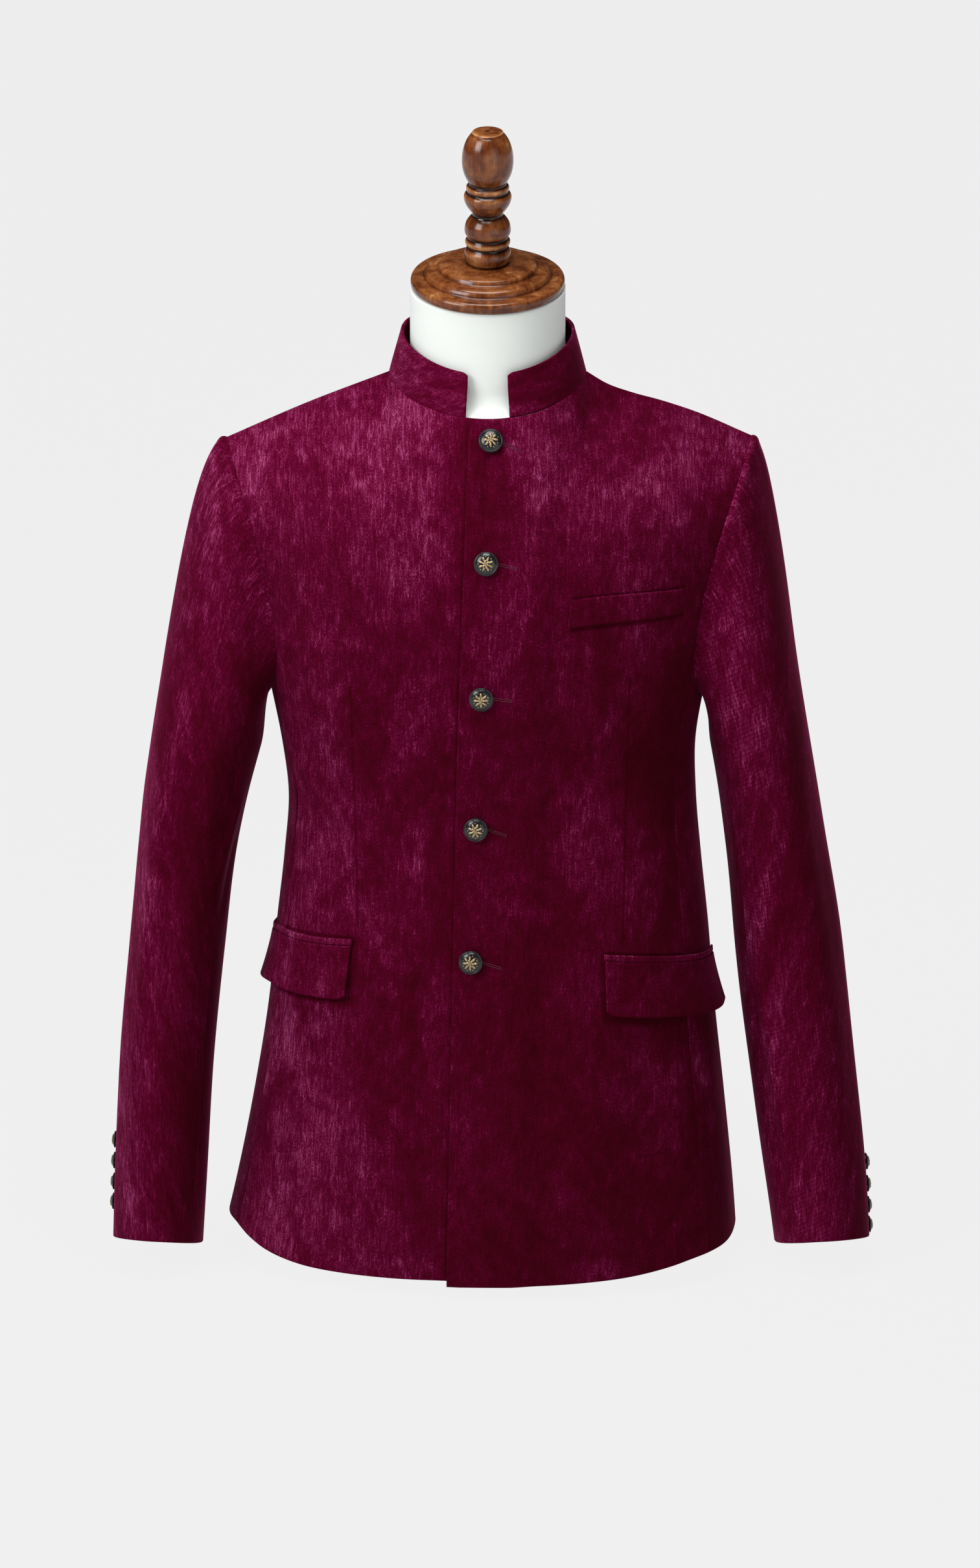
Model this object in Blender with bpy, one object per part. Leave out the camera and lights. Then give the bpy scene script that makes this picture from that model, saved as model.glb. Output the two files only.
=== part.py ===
# A velvet prince coat, buttoned up, resting on a limbless white dress form with a turned wooden neck cap.
# Metres, +Z up. The wearer's front faces -Y, and +X is the wearer's left.
import math

import bmesh
import bpy
import numpy as np
from mathutils import Matrix, Vector

# Driving dimensions of the cloth
WALL = 0.0020
SEAM_GAP = 0.0003
COLLAR_WALL = 0.0030
LAP = 0.0185
LAP_TAPER = 0.0157
LAP_TAPER_Z = 0.500
LAP_MARGIN = 0.022
LAP_FADE = 0.026
LAP_GAP = 0.0008
LAP_LIFT = WALL + LAP_GAP

# Heights above the floor that the stand rests on
CHEST_Z = 0.560
UNDERARM_Z = 0.505
NECK_PIT_Z = 0.7536
NECK_BACK_Z = 0.787
RIGHT_HEM_LIFT = 0.0050
SLEEVE_RING_Z = 0.455

# Neckline and shoulders
NECK_HALF = 0.083
NECK_FRONT = 0.085
NECK_BACK = 0.066
SHOULDER_TIPS = {-1.0: (0.2208, 0.7212), 1.0: (0.2235, 0.7225)}

# How far each shoulder line rises above a straight one, by its share of the way from the neck
SHOULDER_LINES = {
    -1.0: ((0.00, 0.0000), (0.50, 0.0018), (1.00, 0.0000)),
    1.0: ((0.00, 0.0000), (0.12, -0.0036), (0.27, -0.0030), (0.45, 0.0000), (0.65, 0.0018), (1.00, 0.0000)),
}
CORNER_BLEND = 16.0
CHEST_TAPER = 1.5
NECK_LEAN = 2.4
SHOULDER_LEAN = 4.6
FRONT_CORNER = 0.008
FRONT_CORNER_LEVEL = 1.93

# Angles round the body, in degrees from the centre front
SIDE_SEAM_FRONT = 68.0
SIDE_SEAM_BACK = 112.0
ARMHOLE_FRONT = 65.0
ARMHOLE_BACK = 115.0
NECK_POINT = 26.0
SECTION_POWER = 0.80

# Body sections: height, half width, middle, depth in front, depth behind
BODY_SECTIONS = (
    (0.000, 0.2265, -0.0080, 0.137, 0.125),
    (0.060, 0.2172, -0.0030, 0.135, 0.124),
    (0.150, 0.2035, 0.0015, 0.131, 0.122),
    (0.230, 0.1925, 0.0035, 0.128, 0.118),
    (0.300, 0.1858, 0.0042, 0.125, 0.110),
    (0.360, 0.1790, 0.0045, 0.122, 0.099),
    (0.415, 0.1745, 0.0040, 0.121, 0.094),
    (0.460, 0.1765, 0.0010, 0.123, 0.098),
    (0.505, 0.1840, 0.0000, 0.126, 0.105),
    (0.560, 0.1960, 0.0000, 0.129, 0.114),
)

# Heights of the hem on each side, by angle in degrees from the centre front
HEM_LINES = {
    1.0: (
        (0.0, 0.0110),
        (27.0, 0.0140),
        (40.0, 0.0170),
        (52.0, 0.0214),
        (60.0, 0.0246),
        (68.0, 0.0262),
        (80.0, 0.0278),
        (90.0, 0.0300),
        (180.0, 0.0240),
    ),
    -1.0: (
        (0.0, 0.0110),
        (27.0, 0.0117),
        (40.0, 0.0146),
        (52.0, 0.0210),
        (60.0, 0.0275),
        (68.0, 0.0336),
        (80.0, 0.0345),
        (90.0, 0.0340),
        (180.0, 0.0240),
    ),
}

# The front edge hangs a little askew: where it stands at a height, and how far it drifts with depth
FRONT_LINE_Z = 0.7358
FRONT_LINE_X = 0.0025
FRONT_LINE_DRIFT = 0.0367

# Sleeve sections: height, middle outwards, middle forwards, half width, half depth
RIGHT_SLEEVE = (
    (0.455, 0.2412, -0.002, 0.0475, 0.077),
    (0.415, 0.2496, -0.002, 0.0452, 0.074),
    (0.370, 0.2570, -0.002, 0.0428, 0.071),
    (0.280, 0.2675, -0.004, 0.0410, 0.067),
    (0.187, 0.2768, -0.012, 0.0409, 0.063),
    (0.093, 0.2823, -0.024, 0.0402, 0.060),
    (0.020, 0.2858, -0.036, 0.0389, 0.058),
)
LEFT_SLEEVE = (
    (0.455, 0.2330, -0.002, 0.0432, 0.077),
    (0.415, 0.2402, -0.002, 0.0429, 0.074),
    (0.370, 0.2472, -0.002, 0.0433, 0.071),
    (0.280, 0.2597, -0.004, 0.0460, 0.067),
    (0.187, 0.2709, -0.012, 0.0456, 0.063),
    (0.093, 0.2828, -0.024, 0.0441, 0.060),
    (0.020, 0.2903, -0.036, 0.0407, 0.058),
)
CUFF_TILT = 0.016
CUFF_SLANT = 0.0058
SLEEVE_FRONT_SEAM = 140.0
SLEEVE_BACK_SEAM = 312.0


def table_row(table, height):
    """Return a section's values at a height, by a smooth curve through the table's rows."""
    rows = sorted(table)
    zs = np.array([row[0] for row in rows])
    values = np.array([row[1:] for row in rows])
    slopes = np.gradient(values, zs, axis=0)
    height = min(max(height, zs[0] - 0.02), zs[-1] + 0.02)
    i = int(np.clip(np.searchsorted(zs, height) - 1, 0, len(zs) - 2))
    span = zs[i + 1] - zs[i]
    t = (height - zs[i]) / span
    if t < 0.0:
        return values[i] + slopes[i] * (height - zs[i])
    if t > 1.0:
        return values[i + 1] + slopes[i + 1] * (height - zs[i + 1])
    h00 = 2 * t ** 3 - 3 * t ** 2 + 1
    h10 = t ** 3 - 2 * t ** 2 + t
    h01 = 3 * t ** 2 - 2 * t ** 3
    h11 = t ** 3 - t ** 2
    return h00 * values[i] + h10 * span * slopes[i] + h01 * values[i + 1] + h11 * span * slopes[i + 1]


def front_line(z):
    """Return where the line of buttons stands at a height."""
    return FRONT_LINE_X - FRONT_LINE_DRIFT * (FRONT_LINE_Z - z)


def lap_width(z):
    """Return how far a front's edge stands past the line of buttons at a height."""
    return LAP - LAP_TAPER * max(0.0, LAP_TAPER_Z - z)


def section_point(phi, z):
    """Return the coat's outer surface below the chest, at an angle in degrees and a height."""
    half, middle, front, back = table_row(BODY_SECTIONS, z)
    angle = math.radians(phi)
    side = math.sin(angle) * half
    depth = math.copysign(abs(math.cos(angle)) ** SECTION_POWER, math.cos(angle))
    along = -depth * (front if depth > 0 else back)
    twist = math.asin((front_line(z) - middle) / front)
    x = side * math.cos(twist) - along * math.sin(twist)
    y = side * math.sin(twist) + along * math.cos(twist)
    return np.array((x + middle, y, z))


def neckline(angle):
    """Return the neckline at an angle in degrees from the centre front."""
    turn = math.radians(angle)
    depth = NECK_FRONT if math.cos(turn) > 0 else NECK_BACK
    drop = (NECK_BACK_Z - NECK_PIT_Z) * ((1 + math.cos(turn)) / 2) ** 2
    return np.array((NECK_HALF * math.sin(turn), -depth * math.cos(turn), NECK_BACK_Z - drop))


def shoulder(fraction, side):
    """Return one side's shoulder seam, from the neck point to the sleeve, as if on the wearer's left."""
    start = neckline(90.0)
    half, tip_z = SHOULDER_TIPS[side]
    end = np.array((half, 0.004, tip_z))
    point = start + (end - start) * fraction
    point[2] += table_row(SHOULDER_LINES[side], fraction)[0]
    return point


def top_point(phi):
    """Return where the line of cloth at an angle ends, on the neckline or the shoulder seam."""
    side = math.copysign(1.0, phi) if phi else 1.0
    behind = abs(phi) > 90.0
    turn = 180.0 - abs(phi) if behind else abs(phi)
    if turn <= NECK_POINT:
        angle = 90.0 * turn / NECK_POINT
        point = neckline(180.0 - angle if behind else angle)
    else:
        point = shoulder((turn - NECK_POINT) / (ARMHOLE_FRONT - NECK_POINT), side)
    return point * np.array((side, 1.0, 1.0))


def body_point(phi, level):
    """Return the outer surface: level 0 is the hem, 1 the chest line and 2 the neckline or shoulder."""
    if level <= 1.0:
        hem = hem_height(phi)
        return section_point(phi, hem + (CHEST_Z - hem) * level)
    rise = level - 1.0
    low = section_point(phi, CHEST_Z)
    high = soft_top_point(phi, CORNER_BLEND * (1.0 - rise))
    turn = min(180.0 - abs(phi) if abs(phi) > 90.0 else abs(phi), ARMHOLE_FRONT) / ARMHOLE_FRONT
    lean = NECK_LEAN + (SHOULDER_LEAN - NECK_LEAN) * turn
    mix = np.array((rise ** CHEST_TAPER, rise ** lean, rise))
    return low + (high - low) * mix


def soft_top_point(phi, width):
    """Return the top line with its corner at the neck point rounded over a width in degrees."""
    turn = 180.0 - abs(phi) if abs(phi) > 90.0 else abs(phi)
    width = min(width, ARMHOLE_FRONT - min(turn, ARMHOLE_FRONT))
    steps = (-1.0, -0.5, 0.0, 0.5, 1.0)
    weights = (0.1, 0.25, 0.3, 0.25, 0.1)
    return sum(weight * top_point(phi + width * step) for step, weight in zip(steps, weights))


def hem_height(phi):
    """Return the hem's height at an angle."""
    line = HEM_LINES[-1.0 if phi < 0 else 1.0]
    return float(table_row(line, abs(phi))[0])


def level_at(phi, z):
    """Return the level of a height below the chest line."""
    hem = hem_height(phi)
    return (z - hem) / (CHEST_Z - hem)


def angle_at(x, level):
    """Return the angle at which the front stands at x, on one level."""
    low = -80.0
    high = 80.0
    for _ in range(40):
        mid = (low + high) / 2
        if body_point(mid, level)[0] < x:
            low = mid
        else:
            high = mid
    return (low + high) / 2


def armhole_height(phi):
    """Return the height of the armhole's lower curve at an angle from the centre front."""
    reach = (abs(phi) - 90.0) / (90.0 - ARMHOLE_FRONT)
    return CHEST_Z - (CHEST_Z - UNDERARM_Z) * math.sqrt(max(0.0, 1.0 - reach ** 2))


def clear_scene():
    """Remove whatever the scene starts with."""
    for thing in list(bpy.data.objects):
        bpy.data.objects.remove(thing, do_unlink=True)


def material(name, colour, roughness, metallic=0.0):
    """Make a plain Principled material."""
    made = bpy.data.materials.new(name)
    made.use_nodes = True
    shader = made.node_tree.nodes["Principled BSDF"]
    shader.inputs["Base Color"].default_value = (*colour, 1.0)
    shader.inputs["Roughness"].default_value = roughness
    shader.inputs["Metallic"].default_value = metallic
    return made


def new_object(name, points, faces, finish, smooth=True):
    """Make one named mesh object with its faces pointing out."""
    mesh = bpy.data.meshes.new(name)
    mesh.from_pydata([tuple(map(float, point)) for point in points], [], faces)
    shape = bmesh.new()
    shape.from_mesh(mesh)
    bmesh.ops.remove_doubles(shape, verts=shape.verts, dist=0.00002)
    bmesh.ops.dissolve_degenerate(shape, edges=shape.edges, dist=0.00001)
    bmesh.ops.recalc_face_normals(shape, faces=shape.faces)
    bmesh.ops.triangulate(shape, faces=shape.faces)
    shape.to_mesh(mesh)
    shape.free()
    mesh.materials.append(finish)
    if smooth:
        mesh.shade_smooth()
        mesh.set_sharp_from_angle(angle=math.radians(40))
    thing = bpy.data.objects.new(name, mesh)
    bpy.context.collection.objects.link(thing)
    return thing


def grid_normals(grid, outward):
    """Return unit normals of a grid of points, on the side that a direction at its middle points to."""
    along = np.gradient(grid, axis=0)
    across = np.gradient(grid, axis=1)
    normals = np.cross(along, across)
    normals /= np.maximum(np.linalg.norm(normals, axis=2, keepdims=True), 1e-12)
    middle = normals[grid.shape[0] // 2, grid.shape[1] // 2]
    return normals if np.dot(middle, outward) > 0 else -normals


def grid_faces(rows, columns, outer, inner):
    """Return the faces of a closed wall between two grids of numbered points."""
    faces = []
    for i in range(rows - 1):
        for j in range(columns - 1):
            faces.append((outer(i, j), outer(i, j + 1), outer(i + 1, j + 1), outer(i + 1, j)))
            faces.append((inner(i, j), inner(i + 1, j), inner(i + 1, j + 1), inner(i, j + 1)))
    far = columns - 1
    for i in range(rows - 1):
        faces.append((outer(i, 0), outer(i + 1, 0), inner(i + 1, 0), inner(i, 0)))
        faces.append((outer(i + 1, far), outer(i, far), inner(i, far), inner(i + 1, far)))
    top = rows - 1
    for j in range(columns - 1):
        faces.append((outer(0, j + 1), outer(0, j), inner(0, j), inner(0, j + 1)))
        faces.append((outer(top, j), outer(top, j + 1), inner(top, j + 1), inner(top, j)))
    return faces


def wall(name, grid, normals, finish, thickness=WALL, lift=0.0):
    """Make a thin closed wall: its outer face is the grid moved out by the lift."""
    rows, columns = grid.shape[:2]
    lift = np.broadcast_to(np.asarray(lift, dtype=float), (rows, columns))[..., None]
    outer = grid + normals * lift
    inner = grid + normals * (lift - thickness)
    points = np.concatenate((outer.reshape(-1, 3), inner.reshape(-1, 3)))
    count = rows * columns
    faces = grid_faces(rows, columns, lambda i, j: i * columns + j, lambda i, j: count + i * columns + j)
    return new_object(name, points, faces, finish)


# Rows and columns of the body panels
SKIRT_ROWS = 11
ARMHOLE_ROWS = 2
YOKE_ROWS = 8
NECK_COLUMNS = 5
SHOULDER_COLUMNS = 6
SIDE_COLUMNS = 5
SEAM_ANGLE = 0.045
JUNCTION_Z = armhole_height(SIDE_SEAM_FRONT)


def panel_levels(seam):
    """Return the levels of a front or back panel's rows."""
    start = level_at(seam, JUNCTION_Z)
    skirt = [start * i / SKIRT_ROWS for i in range(SKIRT_ROWS)]
    armhole = [start + (1.0 - start) * i / ARMHOLE_ROWS for i in range(ARMHOLE_ROWS)]
    yoke = [1.0 + i / YOKE_ROWS for i in range(YOKE_ROWS + 1)]
    return skirt + armhole + yoke


def outer_angle(level, behind):
    """Return the angle of a panel's outer edge: its side seam, then the armhole."""
    seam = SIDE_SEAM_BACK if behind else SIDE_SEAM_FRONT
    start = level_at(seam, JUNCTION_Z)
    if level <= start:
        reach = 90.0 - SIDE_SEAM_FRONT + SEAM_ANGLE
    else:
        drop = (CHEST_Z - JUNCTION_Z) * max(0.0, 1.0 - level) / (1.0 - start)
        reach = (90.0 - ARMHOLE_FRONT) * math.sqrt(1.0 - (drop / (CHEST_Z - UNDERARM_Z)) ** 2)
    return 90.0 + reach if behind else 90.0 - reach


def columns_between(start, middle, end):
    """Return the angles of a row's columns, with one at the neck point."""
    near = [start + (middle - start) * j / NECK_COLUMNS for j in range(NECK_COLUMNS)]
    far = [middle + (end - middle) * j / SHOULDER_COLUMNS for j in range(SHOULDER_COLUMNS + 1)]
    return near + far


def skin(phi, level, out=0.0):
    """Return a point moved out from the coat's surface, and the outward normal there."""
    turn = 0.5
    rise = 0.004
    inside = min(level, 2.0 - rise)
    across = body_point(phi + turn, inside) - body_point(phi - turn, inside)
    along = body_point(phi, inside + rise) - body_point(phi, max(inside - rise, 0.0))
    normal = np.cross(across, along)
    normal /= np.linalg.norm(normal)
    return body_point(phi, level) + normal * out, normal


def split_rows(rows):
    """Return the points and the normals of rows of both, as two grids."""
    points = np.array([[point for point, _ in row] for row in rows])
    normals = np.array([[normal for _, normal in row] for row in rows])
    return points, normals


def front_grid(side):
    """Return a front's grid of points from its front edge outwards, hem first."""
    rows = []
    for level in panel_levels(SIDE_SEAM_FRONT):
        height = body_point(0.0, level)[2]
        near_top = max(0.0, (level - FRONT_CORNER_LEVEL) / (2.0 - FRONT_CORNER_LEVEL))
        rounding = FRONT_CORNER * near_top ** 2 if side > 0 else 0.0
        edge = angle_at(front_line(height) - side * (lap_width(height) - rounding), level)
        row = [edge] + columns_between(0.0, side * NECK_POINT, side * outer_angle(level, False))
        if side < 0:
            lifts = [RIGHT_HEM_LIFT * max(0.0, 1.0 + phi / SIDE_SEAM_FRONT) / CHEST_Z for phi in row]
        else:
            lifts = [0.0] * len(row)
        rows.append([skin(phi, level + max(0.0, 1.0 - level) * lift) for phi, lift in zip(row, lifts)])
    return split_rows(rows)


def back_grid(side):
    """Return a back's grid of points from the centre back seam outwards, hem first."""
    rows = []
    for level in panel_levels(SIDE_SEAM_BACK):
        centre = 180.0 - SEAM_ANGLE
        row = columns_between(centre, 180.0 - NECK_POINT, outer_angle(level, True))
        rows.append([skin(side * phi, level) for phi in row])
    return split_rows(rows)


def side_grid(side):
    """Return a side panel's grid of points from its front seam to its back seam, hem first."""
    start = SIDE_SEAM_FRONT + SEAM_ANGLE
    end = SIDE_SEAM_BACK - SEAM_ANGLE
    rows = []
    for i in range(SKIRT_ROWS + 1):
        row = []
        for j in range(SIDE_COLUMNS + 1):
            phi = start + (end - start) * j / SIDE_COLUMNS
            level = level_at(phi, armhole_height(phi)) * i / SKIRT_ROWS
            row.append(skin(side * phi, level))
        rows.append(row)
    return split_rows(rows)


def finish_top(grid, normals, behind):
    """Cut the neckline's edge level, and part the two upright edges of the shoulder seam."""
    corner = grid.shape[1] - 1 - SHOULDER_COLUMNS
    normals[-1, :corner, 2] = 0.0
    normals[-1, :corner] /= np.linalg.norm(normals[-1, :corner], axis=1, keepdims=True)
    shift = SEAM_GAP / 2 if behind else -SEAM_GAP / 2
    grid[-1, corner:, 1] += shift
    seam = normals[-1, corner:]
    seam[:, 1] = 0.0
    seam /= np.linalg.norm(seam, axis=1, keepdims=True)


def lap_lift(grid):
    """Return how far the upper front stands out, over the lower front."""
    lift = np.zeros(grid.shape[:2])
    for i, row in enumerate(grid):
        for j, point in enumerate(row):
            reach = (point[0] - front_line(point[2]) - LAP - LAP_MARGIN) / LAP_FADE
            reach = min(max(reach, 0.0), 1.0)
            lift[i, j] = LAP_LIFT * (1.0 - reach * reach * (3 - 2 * reach))
    return lift


# Sleeve rows and the way the sleeve leaves the armhole
HEAD_ROWS = 7
ARM_ROWS = 11
CUFF_Z = 0.024
SLEEVE_POWER = 0.92
HEAD_RISE = 0.26
UNDERARM_FALL = -1.10
HEAD_SPAN = 0.10
HEAD_PUSH = {1.0: 0.55, -1.0: 0.80}


def armhole_loop(front, side_panel, back):
    """Return the armhole's points: down the front from the shoulder tip, under the arm and up the back."""
    down = front[:SKIRT_ROWS - 1:-1, -1]
    under = side_panel[-1, 1:-1]
    up = back[SKIRT_ROWS:-1, -1]
    return np.concatenate((down, under, up))


def loop_angles(loop):
    """Return each loop point's angle round the sleeve: 0 on top, 90 in front, 180 under the arm."""
    steps = np.linalg.norm(np.roll(loop, -1, axis=0) - loop, axis=1)
    return 360.0 * np.concatenate(((0.0,), np.cumsum(steps)[:-1])) / steps.sum()


def sleeve_point(sections, side, turn, z):
    """Return a point of the sleeve below the armhole at an angle in degrees."""
    out, forward, half, depth = table_row(sections, z)
    angle = math.radians(turn)
    reach = math.copysign(abs(math.cos(angle)) ** SLEEVE_POWER, math.cos(angle))
    ahead = math.copysign(abs(math.sin(angle)) ** SLEEVE_POWER, math.sin(angle))
    fall = (SLEEVE_RING_Z - z) / (SLEEVE_RING_Z - CUFF_Z)
    tilt = fall * (CUFF_TILT * math.sin(angle) - CUFF_SLANT * (1 - math.cos(angle)) / 2)
    return np.array((side * (out + half * reach), forward - depth * ahead, z + tilt))


def head_point(start, ring, under, side, turn, t, push):
    """Return a point between the armhole, 0, and the sleeve's first ring, 1."""
    span = np.linalg.norm(ring - start)
    rise = (HEAD_RISE + UNDERARM_FALL) / 2 + (HEAD_RISE - UNDERARM_FALL) / 2 * math.cos(math.radians(turn))
    leave = np.array((side, 0.0, rise))
    leave /= np.linalg.norm(leave)
    arrive = under / np.linalg.norm(under)
    h00 = 2 * t ** 3 - 3 * t ** 2 + 1
    h10 = t ** 3 - 2 * t ** 2 + t
    h01 = 3 * t ** 2 - 2 * t ** 3
    h11 = t ** 3 - t ** 2
    out = h10 * push * min(span, HEAD_SPAN) * leave
    down = h11 * span * arrive
    return h00 * start + out + h01 * ring + down


def sleeve_grid(loop, sections, side):
    """Return the whole sleeve's rings, from the armhole to the cuff."""
    angles = loop_angles(loop)
    even = np.array([360.0 * k / len(loop) for k in range(len(loop))])
    start = loop + np.array((side * SEAM_GAP, 0.0, 0.0))
    rings = []
    for i in range(HEAD_ROWS):
        t = i / HEAD_ROWS
        ring = []
        for k, turn in enumerate(angles):
            goal = (turn + even[k]) / 2
            first = sleeve_point(sections, side, goal, SLEEVE_RING_Z)
            below = sleeve_point(sections, side, goal, SLEEVE_RING_Z - 0.02) - first
            ring.append(head_point(start[k], first, below, side, turn, t, HEAD_PUSH[side]))
        rings.append(ring)
    for i in range(ARM_ROWS + 1):
        z = SLEEVE_RING_Z + (CUFF_Z - SLEEVE_RING_Z) * i / ARM_ROWS
        rings.append([sleeve_point(sections, side, turn, z) for turn in (angles + even) / 2])
    return np.array(rings), (angles + even) / 2


def sleeve_pieces(name, loop, sections, side, finish):
    """Make a sleeve's upper and under pieces, parted at the front and back seams."""
    grid, angles = sleeve_grid(loop, sections, side)
    front = int(np.argmin(abs(angles - SLEEVE_FRONT_SEAM)))
    back = int(np.argmin(abs(angles - SLEEVE_BACK_SEAM)))
    count = len(angles)
    looped = np.concatenate((grid, grid[:, :1]), axis=1)
    padded = np.concatenate((grid[:, -1:], looped, grid[:, 1:2]), axis=1)
    along = np.gradient(padded, axis=0)
    across = np.gradient(padded, axis=1)
    normals = np.cross(along, across)[:, 1:-2]
    normals /= np.linalg.norm(normals, axis=2, keepdims=True)
    if normals[-3, 0, 0] * side < 0:
        normals = -normals
    around = np.roll(loop, -1, axis=0) - np.roll(loop, 1, axis=0)
    edge = np.cross(around, (side, 0.0, 0.0))
    edge /= np.linalg.norm(edge, axis=1, keepdims=True)
    normals[0, :count] = edge if edge[0, 2] > 0 else -edge
    normals[0, count:] = normals[0, :1]
    upper = [k % count for k in range(back, front + count + 1)]
    under = list(range(front, back + 1))
    for label, picked in (("upper", upper), ("under", under)):
        piece = grid[:, picked].copy()
        slide = SEAM_GAP / 2 / np.maximum(np.linalg.norm(piece[:, 1] - piece[:, 0], axis=1), 1e-6)
        piece[:, 0] += (piece[:, 1] - piece[:, 0]) * slide[:, None]
        slide = SEAM_GAP / 2 / np.maximum(np.linalg.norm(piece[:, -2] - piece[:, -1], axis=1), 1e-6)
        piece[:, -1] += (piece[:, -2] - piece[:, -1]) * slide[:, None]
        wall(f"{name}_sleeve_{label}", piece, normals[:, picked], finish)


# Collar
COLLAR_OPENING = 13.0
COLLAR_COLUMNS = 34
COLLAR_ROWS = 4
RIM_HALF = 0.0730
RIM_FRONT = 0.0745
RIM_BACK = 0.0620
COLLAR_HEIGHT = 0.0360
COLLAR_SEAT = 0.0007
COLLAR_CORNER_DROP = 0.0015


def collar_grid():
    """Return the stand collar's grid, from its seam to its rim, round from one front to the other."""
    rows = []
    for i in range(COLLAR_ROWS + 1):
        rise = i / COLLAR_ROWS
        row = []
        for j in range(COLLAR_COLUMNS + 1):
            turn = COLLAR_OPENING + (360.0 - 2 * COLLAR_OPENING) * j / COLLAR_COLUMNS
            base = neckline(turn)
            angle = math.radians(turn)
            depth = RIM_FRONT if math.cos(angle) > 0 else RIM_BACK
            rim = np.array((RIM_HALF * math.sin(angle), -depth * math.cos(angle), base[2] + COLLAR_HEIGHT))
            point = base + (rim - base) * rise
            point[2] += COLLAR_SEAT * (1 - rise)
            row.append(point)
        rows.append(row)
    grid = np.array(rows)
    grid[-1, 0, 2] -= COLLAR_CORNER_DROP
    grid[-1, -1, 2] -= COLLAR_CORNER_DROP
    return grid


def make_collar(finish):
    """Make the stand collar."""
    grid = collar_grid()
    normals = grid_normals(grid, np.array((0.0, 1.0, 0.0)))
    normals[0, :, 2] = 0.0
    normals[0] /= np.linalg.norm(normals[0], axis=1, keepdims=True)
    wall("collar", grid, normals, finish, COLLAR_WALL)


def place(x, z):
    """Return the angle and level at which the front stands at x and z."""
    level = 1.0
    phi = 0.0
    for _ in range(6):
        if z <= CHEST_Z:
            level = level_at(phi, z)
        else:
            level = 1.0 + (z - CHEST_Z) / (top_point(phi)[2] - CHEST_Z)
        phi = angle_at(x, level)
    return phi, level


# Chest welt: its corners on the wearer's left front, x and z
WELT_INNER_TOP = (0.0686, 0.6089)
WELT_OUTER_TOP = (0.1614, 0.6101)
WELT_INNER_LOW = (0.0664, 0.5851)
WELT_OUTER_LOW = (0.1591, 0.5890)
WELT_THICK = 0.0016
ON_PANEL = 0.0006

# Hip pockets: angle and height of each flap's inner and outer top corner, and its drop there
FLAPS = (
    ("left", 1.0, 36.4, 0.2961, 0.0470, 92.0, 0.2758, 0.0450),
    ("right", -1.0, 34.2, 0.3030, 0.0470, 90.0, 0.2850, 0.0430),
)
FLAP_THICK = 0.0026
FLAP_COLUMNS = 10
FLAP_ROWS = 3
FLAP_STAND_INNER = 0.0020
FLAP_STAND_OUTER = 0.0075
FLAP_WIDTH = 0.140
FLAP_CORNER = 0.010
FLAP_CORNER_RISE = 0.0035
FLAP_CURL = 1.3
JET_HEIGHT = 0.0055
JET_OVERHANG = 0.3
JET_THICK = 0.0022


def strip(name, places, lifts, finish, thickness):
    """Make a wall from a grid of angles and levels, each point moved out by its lift."""
    rows = []
    for row, row_lifts in zip(places, lifts):
        rows.append([skin(phi, level, lift) for (phi, level), lift in zip(row, row_lifts)])
    points, normals = split_rows(rows)
    wall(name, points, normals, finish, thickness)


def make_welt(finish):
    """Make the slanting welt of the chest pocket."""
    rows = 2
    columns = 6
    corners = [np.array(c) for c in (WELT_INNER_LOW, WELT_OUTER_LOW, WELT_INNER_TOP, WELT_OUTER_TOP)]
    places = []
    for i in range(rows + 1):
        start = corners[0] + (corners[2] - corners[0]) * i / rows
        end = corners[1] + (corners[3] - corners[1]) * i / rows
        places.append([place(*(start + (end - start) * j / columns)) for j in range(columns + 1)])
    lifts = [[ON_PANEL + WELT_THICK] * (columns + 1)] * (rows + 1)
    strip("chest_welt", places, lifts, finish, WELT_THICK)


def make_pocket(row, finish):
    """Make one hip pocket's jet and its flap, which hangs from under the jet."""
    name, side, inner, inner_top, inner_drop, outer, outer_top, outer_drop = row
    jet = []
    flap = []
    lifts = []
    for i in range(FLAP_ROWS + 1):
        down = i / FLAP_ROWS
        flap_row = []
        lift_row = []
        for j in range(FLAP_COLUMNS + 1):
            across = j / FLAP_COLUMNS
            phi = inner + (outer - inner) * across
            top = inner_top + (outer_top - inner_top) * across
            drop = inner_drop + (outer_drop - inner_drop) * across
            edge = min(across, 1 - across) * FLAP_WIDTH
            rounding = FLAP_CORNER_RISE * (1 - min(edge / FLAP_CORNER, 1.0)) ** 2
            z = top - SEAM_GAP - (drop - rounding) * down
            stand = FLAP_STAND_INNER + (FLAP_STAND_OUTER - FLAP_STAND_INNER) * across
            flap_row.append((side * phi, level_at(phi, z)))
            lift_row.append(ON_PANEL + FLAP_THICK + stand * down ** FLAP_CURL)
        flap.append(flap_row)
        lifts.append(lift_row)
    for i in range(2):
        jet.append([])
        for j in range(FLAP_COLUMNS + 1):
            across = j / FLAP_COLUMNS
            phi = inner - JET_OVERHANG + (outer - inner + 2 * JET_OVERHANG) * across
            top = inner_top + (outer_top - inner_top) * across
            jet[i].append((side * phi, level_at(phi, top + JET_HEIGHT * i)))
    strip(f"{name}_flap", flap, lifts, finish, FLAP_THICK)
    strip(f"{name}_jet", jet, [[ON_PANEL + JET_THICK] * (FLAP_COLUMNS + 1)] * 2, finish, JET_THICK)


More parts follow.
